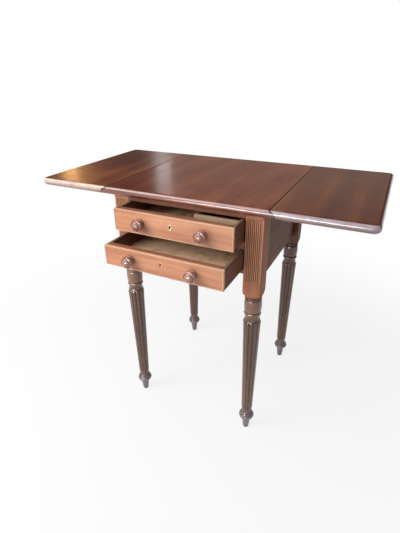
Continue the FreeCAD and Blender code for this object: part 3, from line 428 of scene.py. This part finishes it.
# painted highlights by height: from one height to another, the shares there, and the colour
headHighlight = (0.405, 0.435, 0.0, 0.7, (0.27, 0.142, 0.095))
footHighlight = (0.055, 0.085, 0.7, 0.0, (0.205, 0.178, 0.195))
dryLook = {**woodBase, "gloss": 0.5, "coat": 0.0, "specular": 0.3, "relief": 0.2}
finishes = {
    "centreTop": wood("centreTopMahogany", {**topLook, "shift": (0.31, 0.0, 0.2)}),
    # painted highlight on the leaves' noses: pale on the left leaf, a lavender painted reflection on the right
    "leafLeft": wood("leftLeafMahogany", {
        **topLook, "shift": (0.12, 0.37, 0.4), "noseWear": 0.9, "noseSpan": (0.0, 0.1, 2.4),
        "rubColour": (0.67, 0.52, 0.44), "coatRough": 0.25,
        "middle": (0.132, 0.031, 0.012)}),
    "leafRight": wood("rightLeafMahogany", {
        **topLook, "shift": (-0.33, 0.17, 0.1), "noseWear": 0.75, "noseSpan": (0.02, 0.2, 2.4),
        "rubColour": (0.49, 0.42, 0.47), "figure": 13.0, "figureShare": 1.9,
        "dark": (0.062, 0.014, 0.010), "middle": (0.130, 0.031, 0.012), "light": (0.26, 0.094, 0.030)}),
    # painted light and shade: the front posts take a lighter, lit copy of the mahogany and the back posts a
    # darker, shaded one; the back turnings go without the painted highlight at the heads
    "leg": wood("postMahogany", {
        **woodBase, "figure": 14.0, "gloss": 0.5, "coat": 0.0, "specular": 0.25, "sideShade": 1.0,
        "grime": 0.9, "grimeReach": 0.004, "grimeColour": (0.25, 0.072, 0.028),
        "rub": 0.9, "rubReach": 0.003, "rubColour": (0.84, 0.45, 0.28),
        "dark": (0.27, 0.088, 0.040), "middle": (0.455, 0.165, 0.078), "light": (0.60, 0.240, 0.120)}),
    "backLeg": wood("backPostMahogany", {
        **woodBase, "figure": 14.0, "gloss": 0.5, "coat": 0.0, "specular": 0.2, "shift": (0.1, 0.2, 0.0),
        "rubColour": (0.30, 0.15, 0.09),
        "dark": (0.085, 0.034, 0.018), "middle": (0.15, 0.062, 0.034), "light": (0.22, 0.098, 0.056)}),
    "turned": wood("turnedMahogany", {**turnedLook, "tints": (headHighlight, footHighlight)}),
    "backTurned": wood("backTurnedMahogany", {**turnedLook, "tints": (footHighlight,), "shift": (0.1, 0.2, 0.0)}),
    "carcass": wood("carcassMahogany", {
        **woodBase, "grain": "y", "shift": (0.2, 0.1, 0.0), "gloss": 0.45, "coat": 0.0, "specular": 0.1,
        "dark": (0.080, 0.032, 0.016), "middle": (0.135, 0.057, 0.029), "light": (0.19, 0.088, 0.048)}),
    "rail": wood("railMahogany", {
        **woodBase, "grain": "x", "shift": (0.0, 0.2, 0.1), "gloss": 0.45, "coat": 0.0, "specular": 0.2,
        "dark": (0.15, 0.050, 0.028), "middle": (0.26, 0.092, 0.052), "light": (0.37, 0.150, 0.090)}),
    "upperFront": wood("upperFrontMahogany", {
        **frontLook, "shift": (0.35, 0.1, 0.6), "keyhole": keyholeMiddle("upper_drawer")}),
    "lowerFront": wood("lowerFrontMahogany", {
        **frontLook, "shift": (0.35, 0.1, 0.6), "keyhole": keyholeMiddle("lower_drawer")}),
    "bead": wood("beadMahogany", {
        **frontLook, "shift": (0.0, 0.1, 0.35), "rub": 0.4, "rubColour": (0.80, 0.55, 0.37), "topEdge": 0.0,
        "dark": (0.46, 0.22, 0.12), "middle": (0.60, 0.33, 0.20), "light": (0.72, 0.45, 0.30)}),
    "knob": wood("knobMahogany", {
        **woodBase, "grain": "y", "gloss": 0.16, "coat": 0.7, "coatRough": 0.08, "figure": 20.0,
        "dark": (0.22, 0.090, 0.062), "middle": (0.36, 0.163, 0.118), "light": (0.47, 0.238, 0.178)}),
    "drawerWood": wood("drawerSideWood", {
        **dryLook, "grain": "y", "rubColour": (0.25, 0.15, 0.10),
        "topEdge": 0.6, "topEdgeColour": (0.27, 0.18, 0.125),
        "dark": (0.072, 0.029, 0.017), "middle": (0.135, 0.057, 0.033), "light": (0.20, 0.091, 0.055)}),
    "secondary": wood("innerWood", {
        **dryLook, "grain": "y",
        "dark": (0.10, 0.055, 0.03), "middle": (0.18, 0.10, 0.055), "light": (0.27, 0.16, 0.09)}),
    "pale": wood("paleWood", {
        **dryLook, "grain": "x", "rubColour": (0.5, 0.4, 0.3),
        "dark": (0.28, 0.19, 0.12), "middle": (0.42, 0.30, 0.20), "light": (0.52, 0.41, 0.29)}),
}


# Metal: patches of tarnish over a bright colour, with fine scratches
metalGrain = {
    "patches": (5.0, 0.65), "patchSpan": (0.38, 0.64), "dulled": 0.25,
    "scratches": (1400.0, 2.0), "scratchLine": (1, 0.05, 1), "relief": 0.15, "bumpHigh": 0.1 * mm,
}


def metal(name, look):
    made = Nodes(name)
    place = made.add("TexCoord").outputs["Object"]
    mottle = made.noise(place, look["patch"], *metalGrain["patches"])
    patches = made.range(mottle, *metalGrain["patchSpan"], 0.0, 1.0)
    colour = made.mix(patches, (*look["bright"], 1), (*look["tarnish"], 1))
    rough = made.range(patches, 0.0, 1.0, look["polish"], look["polish"] + metalGrain["dulled"])
    lined = made.add("Mapping", {0: place, 3: metalGrain["scratchLine"]}).outputs[0]
    scratch = made.noise(lined, *metalGrain["scratches"])
    raised = {"Strength": metalGrain["relief"], "Distance": metalGrain["bumpHigh"], "Height": scratch}
    shader = made.add("BsdfPrincipled", {
        "Base Color": colour, "Metallic": 1.0, "Roughness": rough,
        "Normal": made.add("Bump", raised).outputs[0],
    })
    return made.finish(shader.outputs[0])


finishes["brass"] = metal("agedBrass", {
    "bright": (0.53, 0.38, 0.25), "tarnish": (0.38, 0.25, 0.15), "patch": 90.0, "polish": 0.46})
finishes["dullBrass"] = metal("dullBrass", {
    "bright": (0.46, 0.24, 0.13), "tarnish": (0.28, 0.13, 0.065), "patch": 90.0, "polish": 0.5})
finishes["steel"] = metal("darkSteel", {
    "bright": (0.25, 0.24, 0.23), "tarnish": (0.08, 0.06, 0.05), "patch": 120.0, "polish": 0.35})


# Paper: mottled, fibrous, with stains; each span of a noise becomes a share up to the one named
def paper(name, look):
    made = Nodes(name)
    place = made.add("TexCoord").outputs["Object"]
    mottle, fibre, stain = (made.noise(place, *look[key]) for key in ("mottle", "fibre", "stains"))
    colour = made.ramp(mottle, list(zip(look["stops"], (look["dark"], look["middle"], look["light"]))))
    stained = made.range(stain, *look["stainSpan"], 0.0, look["stainShare"])
    colour = made.mix(stained, colour, (*look["stain"], 1))
    fibrous = made.range(fibre, *look["fibreSpan"], 0.0, look["fibreShare"])
    colour = made.mix(fibrous, colour, (*look["light"], 1))
    raised = {"Strength": look["relief"], "Distance": look["bumpHigh"], "Height": fibre}
    shader = made.add("BsdfPrincipled", {
        "Base Color": colour, "Roughness": look["rough"], "Specular IOR Level": look["specular"],
        "Normal": made.add("Bump", raised).outputs[0],
    })
    return made.finish(shader.outputs[0])


# painted light: the paper is lighter than its own colour, standing in for light inside the drawer
finishes["lining"] = paper("liningPaper", {
    "dark": (0.44, 0.29, 0.16), "middle": (0.90, 0.61, 0.38), "light": (0.96, 0.74, 0.52),
    "stain": (0.36, 0.24, 0.14), "stops": (0.3, 0.5, 0.72),
    "mottle": (24.0, 5.0, 0.65, 0.4), "fibre": (420.0, 3.0, 0.7), "stains": (7.0, 3.0, 0.6, 0.8),
    "stainSpan": (0.5, 0.75), "stainShare": 0.5, "fibreSpan": (0.4, 0.7), "fibreShare": 0.25,
    "relief": 0.4, "bumpHigh": 0.3 * mm, "rough": 0.85, "specular": 0.25})

nodeFinish = {
    "top_rail": "rail", "drawer_blade": "rail", "bottom_rail": "rail", "back_panel": "rail",
    "lower_drawer_front": "lowerFront",
}
slotFinish = {
    "top_mahogany": "centreTop", "leg_mahogany": "leg", "carcass_mahogany": "carcass",
    "drawer_front_mahogany": "upperFront", "knob_mahogany": "knob", "drawer_wood": "drawerWood",
    "secondary_wood": "secondary", "pale_wood": "pale", "lining_paper": "lining",
    "brass": "brass", "steel": "steel",
}
for part in frame["record"]["subparts"]:
    cadNode = nodes[part["node"]]
    finishName = nodeFinish.get(part["node"], slotFinish[part["material_slot"]])
    for slotPlace in cadNode.material_slots:
        slotPlace.material = finishes[finishName]
print("materials:", len(finishes))

# Top boards, now that their finishes are made

makePiece("centreBoard", [centreBoard()], finishes["centreTop"], "carcass", ["centre_top"])
makePiece("rightLeaf", [leafBoard(1)], finishes["leafRight"], "leaf_right", ["leaf_right"])
makePiece("leftLeaf", [leafBoard(-1)], finishes["leafLeft"], "leaf_left", ["leaf_left"])
print("top: centre board and two leaves")


# Turned work: points of (along, radius, bow); each stretch runs straight to the next point,
# bowed out by a half sine
def turnedLine(points, steps=9):
    along, radius = [], []
    for (a0, r0, bow), (a1, r1) in zip(points[:-1], [point[:2] for point in points[1:]]):
        share = np.linspace(0, 1, steps if bow else 2)[:-1]
        length = math.hypot(a1 - a0, r1 - r0)
        swell = bow * np.sin(math.pi * share) / length
        along.append(a0 + (a1 - a0) * share - (r1 - r0) * swell)
        radius.append(r0 + (r1 - r0) * share + (a1 - a0) * swell)
    along.append([points[-1][0]])
    radius.append([points[-1][1]])
    return np.concatenate(along) * mm, np.concatenate(radius) * mm


turnedSharp = 50  # degrees between faces, below which turned work is smooth

# Legs

leg = {
    # height above the floor, radius and bow, in millimetres
    "below": [
        (0.0, 0.0, 0), (0.0, 6.3, 0), (0.7, 8.0, 0.2), (2.6, 8.9, 0), (37.6, 13.2, 0), (38.3, 12.4, 0),
        (39.2, 12.4, 0), (39.8, 14.2, 1.5), (49.6, 22.1, 0.5), (53.4, 22.0, 0.3), (57.2, 20.3, 0),
        (58.0, 18.8, 0), (58.8, 19.4, 0.4), (62.2, 17.8, 0), (63.0, 16.2, 0), (63.8, 16.8, 0.4),
        (67.0, 15.3, 0), (67.5, 14.2, 0), (76.4, 13.7, 0), (77.0, 13.4, 0),
    ],
    "above": [
        (406.9, 19.8, 0), (407.4, 20.5, -0.3), (414.0, 19.4, -0.25), (421.0, 20.3, 0), (421.8, 21.1, 1.8),
        (431.6, 21.1, 0), (432.3, 20.2, 0), (433.4, 20.2, 0), (434.2, 21.8, 0.3), (450.0, 23.2, 0.3),
        (464.0, 22.6, 0.4), (469.6, 21.1, 0), (470.2, 19.9, 0), (470.8, 20.8, 1.7), (475.2, 20.8, 0),
        (475.6, 19.5, 0), (476.0, 20.7, 1.7), (480.5, 20.7, 0), (481.0, 19.5, 0), (482.0, 20.5, 0),
    ],
    "reeds": 12, "reedLow": (77.4, 15.8, 2.2), "reedHigh": (406.5, 23.3, 3.2),  # height, radius, depth
    "reedLevels": 12, "headLong": 11.0, "tailLong": 8.0,
    "headSwell": 0.6, "swellPlace": 0.75, "swellReach": 0.5,  # the last two as shares of the head's length
    "dartPlace": 410.5, "dartTop": 420.0, "dartLong": 4.5, "dartHigh": 1.0,
    "postHalf": 23.5, "shoulderLow": 482.0, "postLow": 500.0, "shoulderRadius": 20.5, "shoulderLevels": 14,
    "postStart": 2.0, "postEnd": 0.5, "cornerRound": 1.4, "soft": 0.35,
    "panelLow": 528.0, "panelHigh": 692.0, "panelBorder": 4.5, "panelReeds": 8, "panelDeep": 2.6,
    "panelRound": 0.74, "panelTip": 6.0, "panelSteps": 12, "panelGap": 0.1,
    "faceSteps": 48, "arrisTurns": (-44.2, 43.4, 44.2),  # degrees, close to the arrises
    "borderShares": (-0.985, -0.95), "borderGap": 0.08, "frontCosine": 0.7, "hair": 1e-6,
}


# Angles round a leg, counted from its front face: even on a plain face, and closer on a reeded one,
# at equal steps across it
def legAngles(half, reeded):
    even = np.linspace(-45, 45, leg["faceSteps"], endpoint=False)
    plain = np.sort(np.radians(np.concatenate([even, leg["arrisTurns"]])))
    front = plain
    if reeded:
        edge = half - leg["panelBorder"] * mm
        reeds = np.linspace(-edge, edge, leg["panelReeds"] * leg["panelSteps"] + 1)
        border = np.append(half * np.array(leg["borderShares"]), -edge - leg["borderGap"] * mm)
        front = np.arctan2(np.concatenate([[-half], border, reeds, -border[::-1]]), half)
    return np.concatenate([front] + [plain + math.pi / 2 * turn for turn in (1, 2, 3)])


# One reed across, from -1 to 1: a half round, nothing in the valleys
def halfRound(share):
    return np.sqrt(np.clip(1 - share ** 2, 0, 1))


# Leg: at each level the smaller of a turned radius, cut into reeds on the column, and the post's square edge
def legSkin(node, reeded):
    low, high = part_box(node)
    half = leg["postHalf"] * mm
    middle = np.array([(low.x + high.x) / 2, (low.y + high.y) / 2])
    angles = legAngles(half, reeded)
    lowZ, lowRadius = turnedLine(leg["below"])
    highZ, highRadius = turnedLine(leg["above"])
    (z0, r0, d0), (z1, r1, d1) = leg["reedLow"], leg["reedHigh"]
    reedZ = np.concatenate([
        z0 + leg["tailLong"] * (1 - np.cos(quarter)), np.linspace(z0, z1, leg["reedLevels"])[1:-1],
        z1 - leg["headLong"] * (1 - np.cos(quarter))[::-1],
    ])
    reedRadius = np.interp(reedZ, [z0, z1], [r0, r1])
    rise = np.linspace(0, 1, leg["shoulderLevels"])[1:]
    shoulderZ = leg["shoulderLow"] + (leg["postLow"] - leg["shoulderLow"]) * rise
    diagonal = half / mm * math.sqrt(2)
    shoulderRadius = leg["shoulderRadius"] + (diagonal - leg["shoulderRadius"]) * np.sqrt(1 - (1 - rise) ** 2)
    tip = leg["panelTip"] * (1 - np.cos(quarter))
    foot, head, panelGap, top = leg["panelLow"], leg["panelHigh"], leg["panelGap"], high.z / mm
    postZ = np.concatenate([
        [leg["postLow"] + leg["postStart"], foot - panelGap], foot + tip, (head - tip)[::-1],
        [head + panelGap, top - leg["postEnd"], top, top],
    ])
    postRadius = np.full(len(postZ), 2 * diagonal)
    postRadius[-1] = 0  # the last row closes the top
    z = np.concatenate([lowZ, reedZ * mm, highZ, shoulderZ * mm, postZ * mm])
    radius = np.concatenate([lowRadius, reedRadius * mm, highRadius, shoulderRadius * mm, postRadius * mm])
    height, turn = z[:, None] / mm, angles[None, :]

    # reeds on the column, with round heads and tails, and darts between their heads
    share = (turn / (2 * math.pi) * leg["reeds"]) % 1 * 2 - 1
    headShare = np.clip((height - z1 + leg["headLong"]) / leg["headLong"], 0, 1)
    tailShare = np.clip((z0 + leg["tailLong"] - height) / leg["tailLong"], 0, 1)
    ends = halfRound(headShare) * halfRound(tailShare)
    depth = np.interp(height, [z0, z1], [d0, d1])
    swellMiddle, swellReach = z1 - leg["swellPlace"] * leg["headLong"], leg["swellReach"] * leg["headLong"]
    swell = leg["headSwell"] * np.exp(-((height - swellMiddle) / swellReach) ** 2)
    column = (height >= z0) & (height <= z1)
    cut = np.where(column, depth - (depth + swell) * halfRound(share) * ends, 0.0)
    dart = leg["dartHigh"] * np.exp(-((height - leg["dartPlace"]) / leg["dartLong"]) ** 2)
    between = np.clip(-np.cos(math.pi * share), 0, 1) ** 2
    cut = np.where((height > z1) & (height < leg["dartTop"]), -dart * between, cut)
    turned = radius[:, None] / mm - cut

    # the square post, and a soft least of the two
    square = half / mm / np.maximum(np.abs(np.cos(turn)), np.abs(np.sin(turn)))
    square = np.minimum(square, diagonal - leg["cornerRound"])
    soft = leg["soft"]
    least = np.minimum(turned, square) - soft * np.log1p(np.exp(-np.abs(turned - square) / soft))
    rho = np.where(height >= leg["shoulderLow"], np.where(turned > 1, least, 0), turned)

    # sunk reeds on the front face
    across, back = rho * np.sin(turn), rho * np.cos(turn)
    if reeded:
        edge = half / mm - leg["panelBorder"]
        pitch = 2 * edge / leg["panelReeds"]
        inside = (np.abs(across) <= edge + leg["hair"]) & (np.cos(turn) > leg["frontCosine"])
        inside = inside & (height >= foot) & (height <= head)
        reedShare = ((across + edge) / pitch) % 1 * 2 - 1
        endShare = np.clip(1 - np.minimum(height - foot, head - height) / leg["panelTip"], 0, 1)
        crown = halfRound(np.clip(reedShare / leg["panelRound"], -1, 1))
        sunk = leg["panelDeep"] * (1 - crown) * halfRound(endShare)  # the grooves run out at their ends
        back = back - np.where(inside, sunk, 0)
    level = np.broadcast_to(z[:, None], rho.shape)
    return skin(np.stack([middle[0] + across * mm, middle[1] - back * mm, level], axis=-1))


for place in ("front_left", "front_right", "back_left", "back_right"):
    node = "leg_" + place
    name = "leg" + place.title().replace("_", "")
    front = place.startswith("front")
    turned, post = (finishes[key] for key in (("turned", "leg") if front else ("backTurned", "backLeg")))
    makePiece(name, [legSkin(node, front)], turned, "carcass", [node], turnedSharp,
              upper=(post, leg["shoulderLow"] * mm))
print("legs: four, with", leg["reeds"], "reeds each")

# Knobs

knob = {
    # distance from the drawer's face, radius and bow, in millimetres
    "line": [
        (-10.0, 0.0, 0), (-10.0, 6.0, 0), (0.0, 6.0, 0), (0.0, 11.0, 0), (0.4, 11.2, 0.7), (2.8, 10.8, 0),
        (3.1, 9.5, 0), (3.5, 9.7, 0.7), (5.2, 9.2, 0), (5.5, 8.0, -1.0), (9.8, 9.2, 0.7),
        (14.0, 14.7, 1.0), (18.0, 14.9, 0.8), (20.4, 12.8, 0.2), (19.9, 12.1, 0), (19.4, 11.6, 0),
        (19.9, 11.2, 0.9), (25.4, 3.6, 0.2), (26.0, 0.0, 0),
    ],
    "length": 26.0, "sides": 72, "steps": 10,
}


# Knob: its line turned about an axis that runs out of the drawer front
def knobSkin(node):
    low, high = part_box(node)
    along, radius = turnedLine(knob["line"], knob["steps"])
    turn = np.linspace(0, 2 * math.pi, knob["sides"], endpoint=False)[None, :]
    face = low.y + knob["length"] * mm
    x = (low.x + high.x) / 2 + radius[:, None] * np.cos(turn)
    z = (low.z + high.z) / 2 + radius[:, None] * np.sin(turn)
    return skin(np.stack([x, np.broadcast_to(face - along[:, None], x.shape), z], axis=-1))


# Bead: a half-round strip mitred round the drawer front; each point of its section goes round
# at its own inset
bead = {"wide": 2.5 * mm, "deep": 5.0 * mm, "proud": 1.0 * mm, "steps": 9}


def beadSkin(node):
    low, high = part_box(node)
    turn = np.linspace(0, math.pi, bead["steps"])
    inset = np.concatenate([[0], bead["wide"] / 2 * (1 - np.cos(turn)), [bead["wide"]]])
    face = low.y + bead["proud"]
    front = np.concatenate([[bead["deep"]], -bead["proud"] * np.sin(turn), [bead["deep"]]]) + face
    corners = [(low.x, 1, low.z, 1), (high.x, -1, low.z, 1), (high.x, -1, high.z, -1), (low.x, 1, high.z, -1)]
    rows = [np.stack([x + sx * inset, front, z + sz * inset], axis=-1) for x, sx, z, sz in corners]
    return skin(np.array(rows), closeRows=True)


# Drawer sides: a board with round upper edges, its section carried from front to back
drawerSide = {"round": 3.2 * mm, "arris": 0.5 * mm, "steps": 7}


def sideSkin(node):
    low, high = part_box(node)
    bend = np.linspace(0, math.pi / 2, drawerSide["steps"])
    upper, small = drawerSide["round"], drawerSide["arris"]
    x = np.concatenate([high.x - small + small * np.sin(bend), high.x - upper + upper * np.cos(bend),
                        low.x + upper - upper * np.sin(bend), low.x + small - small * np.cos(bend)])
    z = np.concatenate([low.z + small - small * np.cos(bend), high.z - upper + upper * np.sin(bend),
                        high.z - upper + upper * np.cos(bend), low.z + small - small * np.sin(bend)])
    outlines = [np.stack([x, np.full_like(x, y), z], axis=-1) for y in (low.y, high.y)]
    return closedSlab(outlines)


# Lining: a sheet of paper laid on the drawer bottom, with low waves and lifted edges
lining = {
    "waves": 0.35 * mm, "waveSizes": (70 * mm, 45 * mm, 30 * mm, 21 * mm), "seed": 7, "clear": 0.15 * mm,
    "curl": 1.6 * mm, "curlReach": 22.0 * mm, "thick": 0.35 * mm, "steps": (90, 100),
}


def liningSkin(node, seed):
    low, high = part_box(node)
    across, along = (np.linspace(a, b, n) for a, b, n in zip(low[:2], high[:2], lining["steps"]))
    x, y = np.meshgrid(across, along)
    waves = np.zeros_like(x)
    rng = np.random.default_rng(seed)
    for size in lining["waveSizes"]:
        turn, phase = rng.uniform(0, 2 * math.pi, 2)
        waves += np.sin((x * math.cos(turn) + y * math.sin(turn)) / size * 2 * math.pi + phase)
    waves /= len(lining["waveSizes"])
    edge = np.minimum(np.minimum(x - low.x, high.x - x), np.minimum(y - low.y, high.y - y))
    curl = np.clip(1 - edge / lining["curlReach"], 0, 1) ** 2 * (1 + waves) / 2
    under = low.z + lining["clear"] + lining["waves"] * (1 + waves) + lining["curl"] * curl
    over = under + lining["thick"]
    upper = np.stack([x, y, over], axis=-1)
    lower = np.stack([x, y, under], axis=-1)[:, ::-1]
    rows = np.concatenate([upper, lower], axis=1)
    ends = [np.concatenate([upper[k], upper[k][::-1]]) for k in (0, -1)]
    return skin(np.concatenate([[ends[0]], rows, [ends[1]]])), (high.x - low.x, high.y - low.y)


# Escutcheon: a low dome between an oval rim and the keyhole, each ray from its middle crossing both
plate = {
    "dome": 0.7 * mm, "deep": 1.6 * mm, "lip": 0.3 * mm, "eye": 2.6 * mm, "slotHalf": 2.0 * mm,
    "keyLong": 7.0 * mm, "sides": 96, "steps": 7, "hair": 1e-9,
    "upper": "brass", "lower": "dullBrass",  # each drawer's finish
}


def plateSkin(node):
    low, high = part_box(node)
    turn = np.linspace(0, 2 * math.pi, plate["sides"], endpoint=False)
    c, s = np.cos(turn), np.sin(turn)
    halfWide, halfTall = (high.x - low.x) / 2, (high.z - low.z) / 2
    rim = 1 / np.sqrt((c / halfWide) ** 2 + (s / halfTall) ** 2)
    reach = plate["keyLong"] / 2
    slot = np.minimum(plate["slotHalf"] / np.maximum(np.abs(c), plate["hair"]),
                      reach / np.maximum(np.abs(s), plate["hair"]))
    inside = plate["eye"] ** 2 - (reach * c) ** 2
    eye = np.where((inside > 0) & (s > 0), reach * s + np.sqrt(np.clip(inside, 0, None)), 0)
    hole = np.maximum(slot, eye)
    share = np.linspace(0, 1, plate["steps"])[:, None]
    radius = hole + (rim - hole) * share
    rise = plate["dome"] * np.sqrt(np.clip(1 - share ** 4, 0, 1)) * np.ones_like(radius)
    radius = np.concatenate([[hole], radius, [rim]])
    depth = np.concatenate([[np.full_like(turn, plate["lip"])], -rise, [np.full_like(turn, plate["deep"])]])
    x, z = (low.x + high.x) / 2 + radius * c, (low.z + high.z) / 2 + radius * s
    return skin(np.stack([x, low.y + depth, z], axis=-1), closeRows=True)


for number, drawer in enumerate(("upper", "lower")):
    body = drawer + "_drawer"
    for hand in ("left", "right"):
        node, name = f"{body}_knob_{hand}", f"{drawer}Knob{hand.title()}"
        makePiece(name, [knobSkin(node)], finishes["knob"], body, [node], turnedSharp)
        node, name = f"{body}_side_{hand}", f"{drawer}Side{hand.title()}"
        makePiece(name, [sideSkin(node)], finishes["drawerWood"], body, [node])
    node = body + "_bead"
    makePiece(drawer + "Bead", [beadSkin(node)], finishes["bead"], body, [node])
    node = body + "_escutcheon"
    makePiece(drawer + "Escutcheon", [plateSkin(node)], finishes[plate[drawer]], body, [node])
    node = body + "_lining"
    laid, flat = liningSkin(node, lining["seed"] + number)
    sheet = makePiece(drawer + "Lining", [laid], finishes["lining"], body, [node])
print("drawers: knobs, sides, beads, escutcheons and linings")

# Camera, fitted to the photograph's frame

view = {
    "imageWide": 400, "focalPixels": 386.5, "sensor": 36.0, "clip": 0.02,
    "yaw": 26.92, "pitch": 27.54, "roll": -0.73, "place": (0.4467, -1.0012, 1.0037),
}


# Matrix of a thing at a place, from the directions of its own three axes
def standing(place, right, up, back):
    turn = Matrix([(*row, 0.0) for row in np.stack([right, up, back], axis=1)] + [(0, 0, 0, 1)])
    return Matrix.Translation(place) @ turn


def placeCamera():
    yaw, pitch, roll = (math.radians(view[key]) for key in ("yaw", "pitch", "roll"))
    forward = np.array([-math.sin(yaw) * math.cos(pitch), math.cos(yaw) * math.cos(pitch), -math.sin(pitch)])
    right = np.array([math.cos(yaw), math.sin(yaw), 0.0])
    up = np.cross(right, forward)
    rolled = math.cos(roll) * right + math.sin(roll) * up
    lens = bpy.data.cameras.new("camera")
    lens.sensor_width = view["sensor"]
    lens.sensor_fit = "HORIZONTAL"  # the sensor's width spans the picture's width
    lens.lens = view["focalPixels"] / view["imageWide"] * view["sensor"]
    lens.clip_start = view["clip"]
    camera = bpy.data.objects.new("camera", lens)
    camera.matrix_world = standing(view["place"], rolled, np.cross(rolled, forward), -forward)
    scene.collection.objects.link(camera)
    scene.camera = camera


placeCamera()
scene.view_settings.view_transform = "Standard"

# Studio

studio = {
    "fillLow": 0.22, "fillHigh": 0.60, "fillSpan": (0.0, 0.5),  # upright part of the ray's direction
    "ceiling": 0.02, "horizonLow": 0.0, "horizonHigh": 0.10,
    "floorRings": (0.0, 0.5, 1.0, 2.0, 4.0, 9.0), "floorSides": 96, "floorDrop": 0.5 * mm,
    "floorFadeStart": 0.5, "floorFadeEnd": 1.5, "floorWhite": 0.70, "floorClear": 0.8,
}


# World: diffuse rays meet a plain fill, the camera a white ground, and gloss a white horizon
# under a dim ceiling
def makeWorld():
    world = bpy.data.worlds.new("studio")
    world.use_nodes = True
    tree = world.node_tree
    tree.nodes.clear()
    add = tree.nodes.new
    link = tree.links.new
    path = add("ShaderNodeLightPath")
    place = add("ShaderNodeTexCoord")
    height = add("ShaderNodeSeparateXYZ")
    link(place.outputs["Generated"], height.inputs[0])
    fade, sky = add("ShaderNodeMapRange"), add("ShaderNodeMapRange")
    spans = {fade: (studio["horizonLow"], studio["horizonHigh"], 1.0, studio["ceiling"]),
             sky: (*studio["fillSpan"], studio["fillLow"], studio["fillHigh"])}
    for node, values in spans.items():
        node.interpolation_type = "SMOOTHSTEP"
        for index, value in enumerate(values):
            node.inputs[index + 1].default_value = value
        link(height.outputs[2], node.inputs[0])
    seen = add("ShaderNodeMath")
    seen.operation = "MAXIMUM"
    link(path.outputs["Is Glossy Ray"], seen.inputs[0])
    link(path.outputs["Is Transmission Ray"], seen.inputs[1])
    fill, gloss, white = (add("ShaderNodeBackground") for k in range(3))
    link(sky.outputs[0], fill.inputs[1])
    for ground in (fill, gloss, white):
        ground.inputs[0].default_value = (1, 1, 1, 1)
    link(fade.outputs[0], gloss.inputs[1])
    first, second = add("ShaderNodeMixShader"), add("ShaderNodeMixShader")
    link(seen.outputs[0], first.inputs[0])
    link(fill.outputs[0], first.inputs[1])
    link(gloss.outputs[0], first.inputs[2])
    link(path.outputs["Is Camera Ray"], second.inputs[0])
    link(first.outputs[0], second.inputs[1])
    link(white.outputs[0], second.inputs[2])
    output = add("ShaderNodeOutputWorld")
    link(second.outputs[0], output.inputs[0])
    scene.world = world


# Floor: a pale disc that keeps the shadow near the feet and fades to the white ground further out
def makeFloor():
    made = Nodes("paleFloor")
    place = made.add("TexCoord").outputs["Object"]
    reach = made.add("VectorMath", {0: place}, operation="LENGTH").outputs["Value"]
    fade = made.range(reach, studio["floorFadeStart"], studio["floorFadeEnd"], studio["floorClear"], 1.0)
    path = made.add("LightPath")
    seen = made.math("MAXIMUM", path.outputs["Is Camera Ray"], path.outputs["Is Glossy Ray"])
    seen = made.math("MAXIMUM", seen, path.outputs["Is Transmission Ray"])
    tone = studio["floorWhite"]
    matt = made.add("BsdfDiffuse", {0: (tone, tone, tone, 1)}).outputs[0]
    white = made.add("Emission", {0: (1, 1, 1, 1), 1: 1.0}).outputs[0]
    mixed = made.add("MixShader", {0: made.math("MULTIPLY", fade, seen), 1: matt, 2: white}).outputs[0]
    made.finish(mixed)
    turns = np.linspace(0, 2 * math.pi, studio["floorSides"], endpoint=False)
    radii = np.array(studio["floorRings"])[:, None]
    zero = np.zeros((len(radii), len(turns)))
    points = np.stack([radii * np.cos(turns), radii * np.sin(turns), zero], axis=-1)
    mesh = bpy.data.meshes.new("floor")
    verts, quads = skin(points)
    mesh.from_pydata(verts.tolist(), [], quads.tolist())
    mesh.materials.append(made.material)
    floor = bpy.data.objects.new("floor", mesh)
    floor.location.z = -studio["floorDrop"]
    scene.collection.objects.link(floor)


# Lamps: place, the point each one faces, size, power and colour
lamps = {
    "keySoftbox": {
        "place": (-0.9, -1.4, 2.3), "faces": (0, -0.1, 0.65), "size": (2.4, 1.2), "power": 34.0,
        "colour": (0.97, 0.97, 1.0)},
    "frontSoftbox": {  # no glare on the top from behind
        "place": (-1.15, -1.35, 1.2), "faces": (0, -0.2, 0.5), "size": (0.9, 0.7), "power": 21.0,
        "colour": (1.0, 0.96, 0.92), "unseen": "glossy"},
    "glintSoftbox": {  # below the top, seen in polished rounds alone
        "place": (-0.35, -2.3, 0.55), "faces": (0, -0.2, 0.5), "size": (1.4, 0.26), "power": 75.0,
        "colour": (0.95, 0.95, 1.0), "unseen": "diffuse"},
    "backStrip": {
        "place": (-1.6, 2.25, 1.35), "faces": (-0.2, 0, 0.72), "size": (0.14, 0.7), "power": 0.28,
        "colour": (1.0, 0.97, 0.96)},
    "backPanel": {
        "place": (-0.5, 2.3, 1.4), "faces": (0, 0, 0.72), "size": (2.0, 0.7), "power": 1.1,
        "colour": (1.0, 0.70, 0.56)},
    "warmGlow": {
        "place": (-2.78, 2.2, 1.55), "faces": (-0.35, -0.17, 0.72), "size": (0.11, 0.11), "power": 0.95,
        "colour": (1.0, 0.55, 0.2)},
    "warmHalo": {
        "place": (-2.64, 2.2, 1.55), "faces": (-0.35, -0.17, 0.72), "size": (0.34, 0.16), "power": 0.2,
        "colour": (1.0, 0.5, 0.16)},
}


def makeLamps():
    for name, lamp in lamps.items():
        light = bpy.data.lights.new(name, "AREA")
        light.shape = "RECTANGLE"
        light.size, light.size_y = lamp["size"]
        light.energy = lamp["power"]
        light.color = lamp["colour"]
        lampObject = bpy.data.objects.new(name, light)
        lampObject.visible_diffuse = lamp.get("unseen") != "diffuse"
        lampObject.visible_glossy = lamp.get("unseen") != "glossy"
        back = np.array(lamp["place"], float) - np.array(lamp["faces"], float)
        back /= np.linalg.norm(back)
        side = np.cross((0, 0, 1), back)
        side /= np.linalg.norm(side)
        lampObject.matrix_world = standing(lamp["place"], side, np.cross(back, side), back)
        scene.collection.objects.link(lampObject)


makeWorld()
makeFloor()
makeLamps()
print("studio: camera, floor and", len(lamps), "lamps")
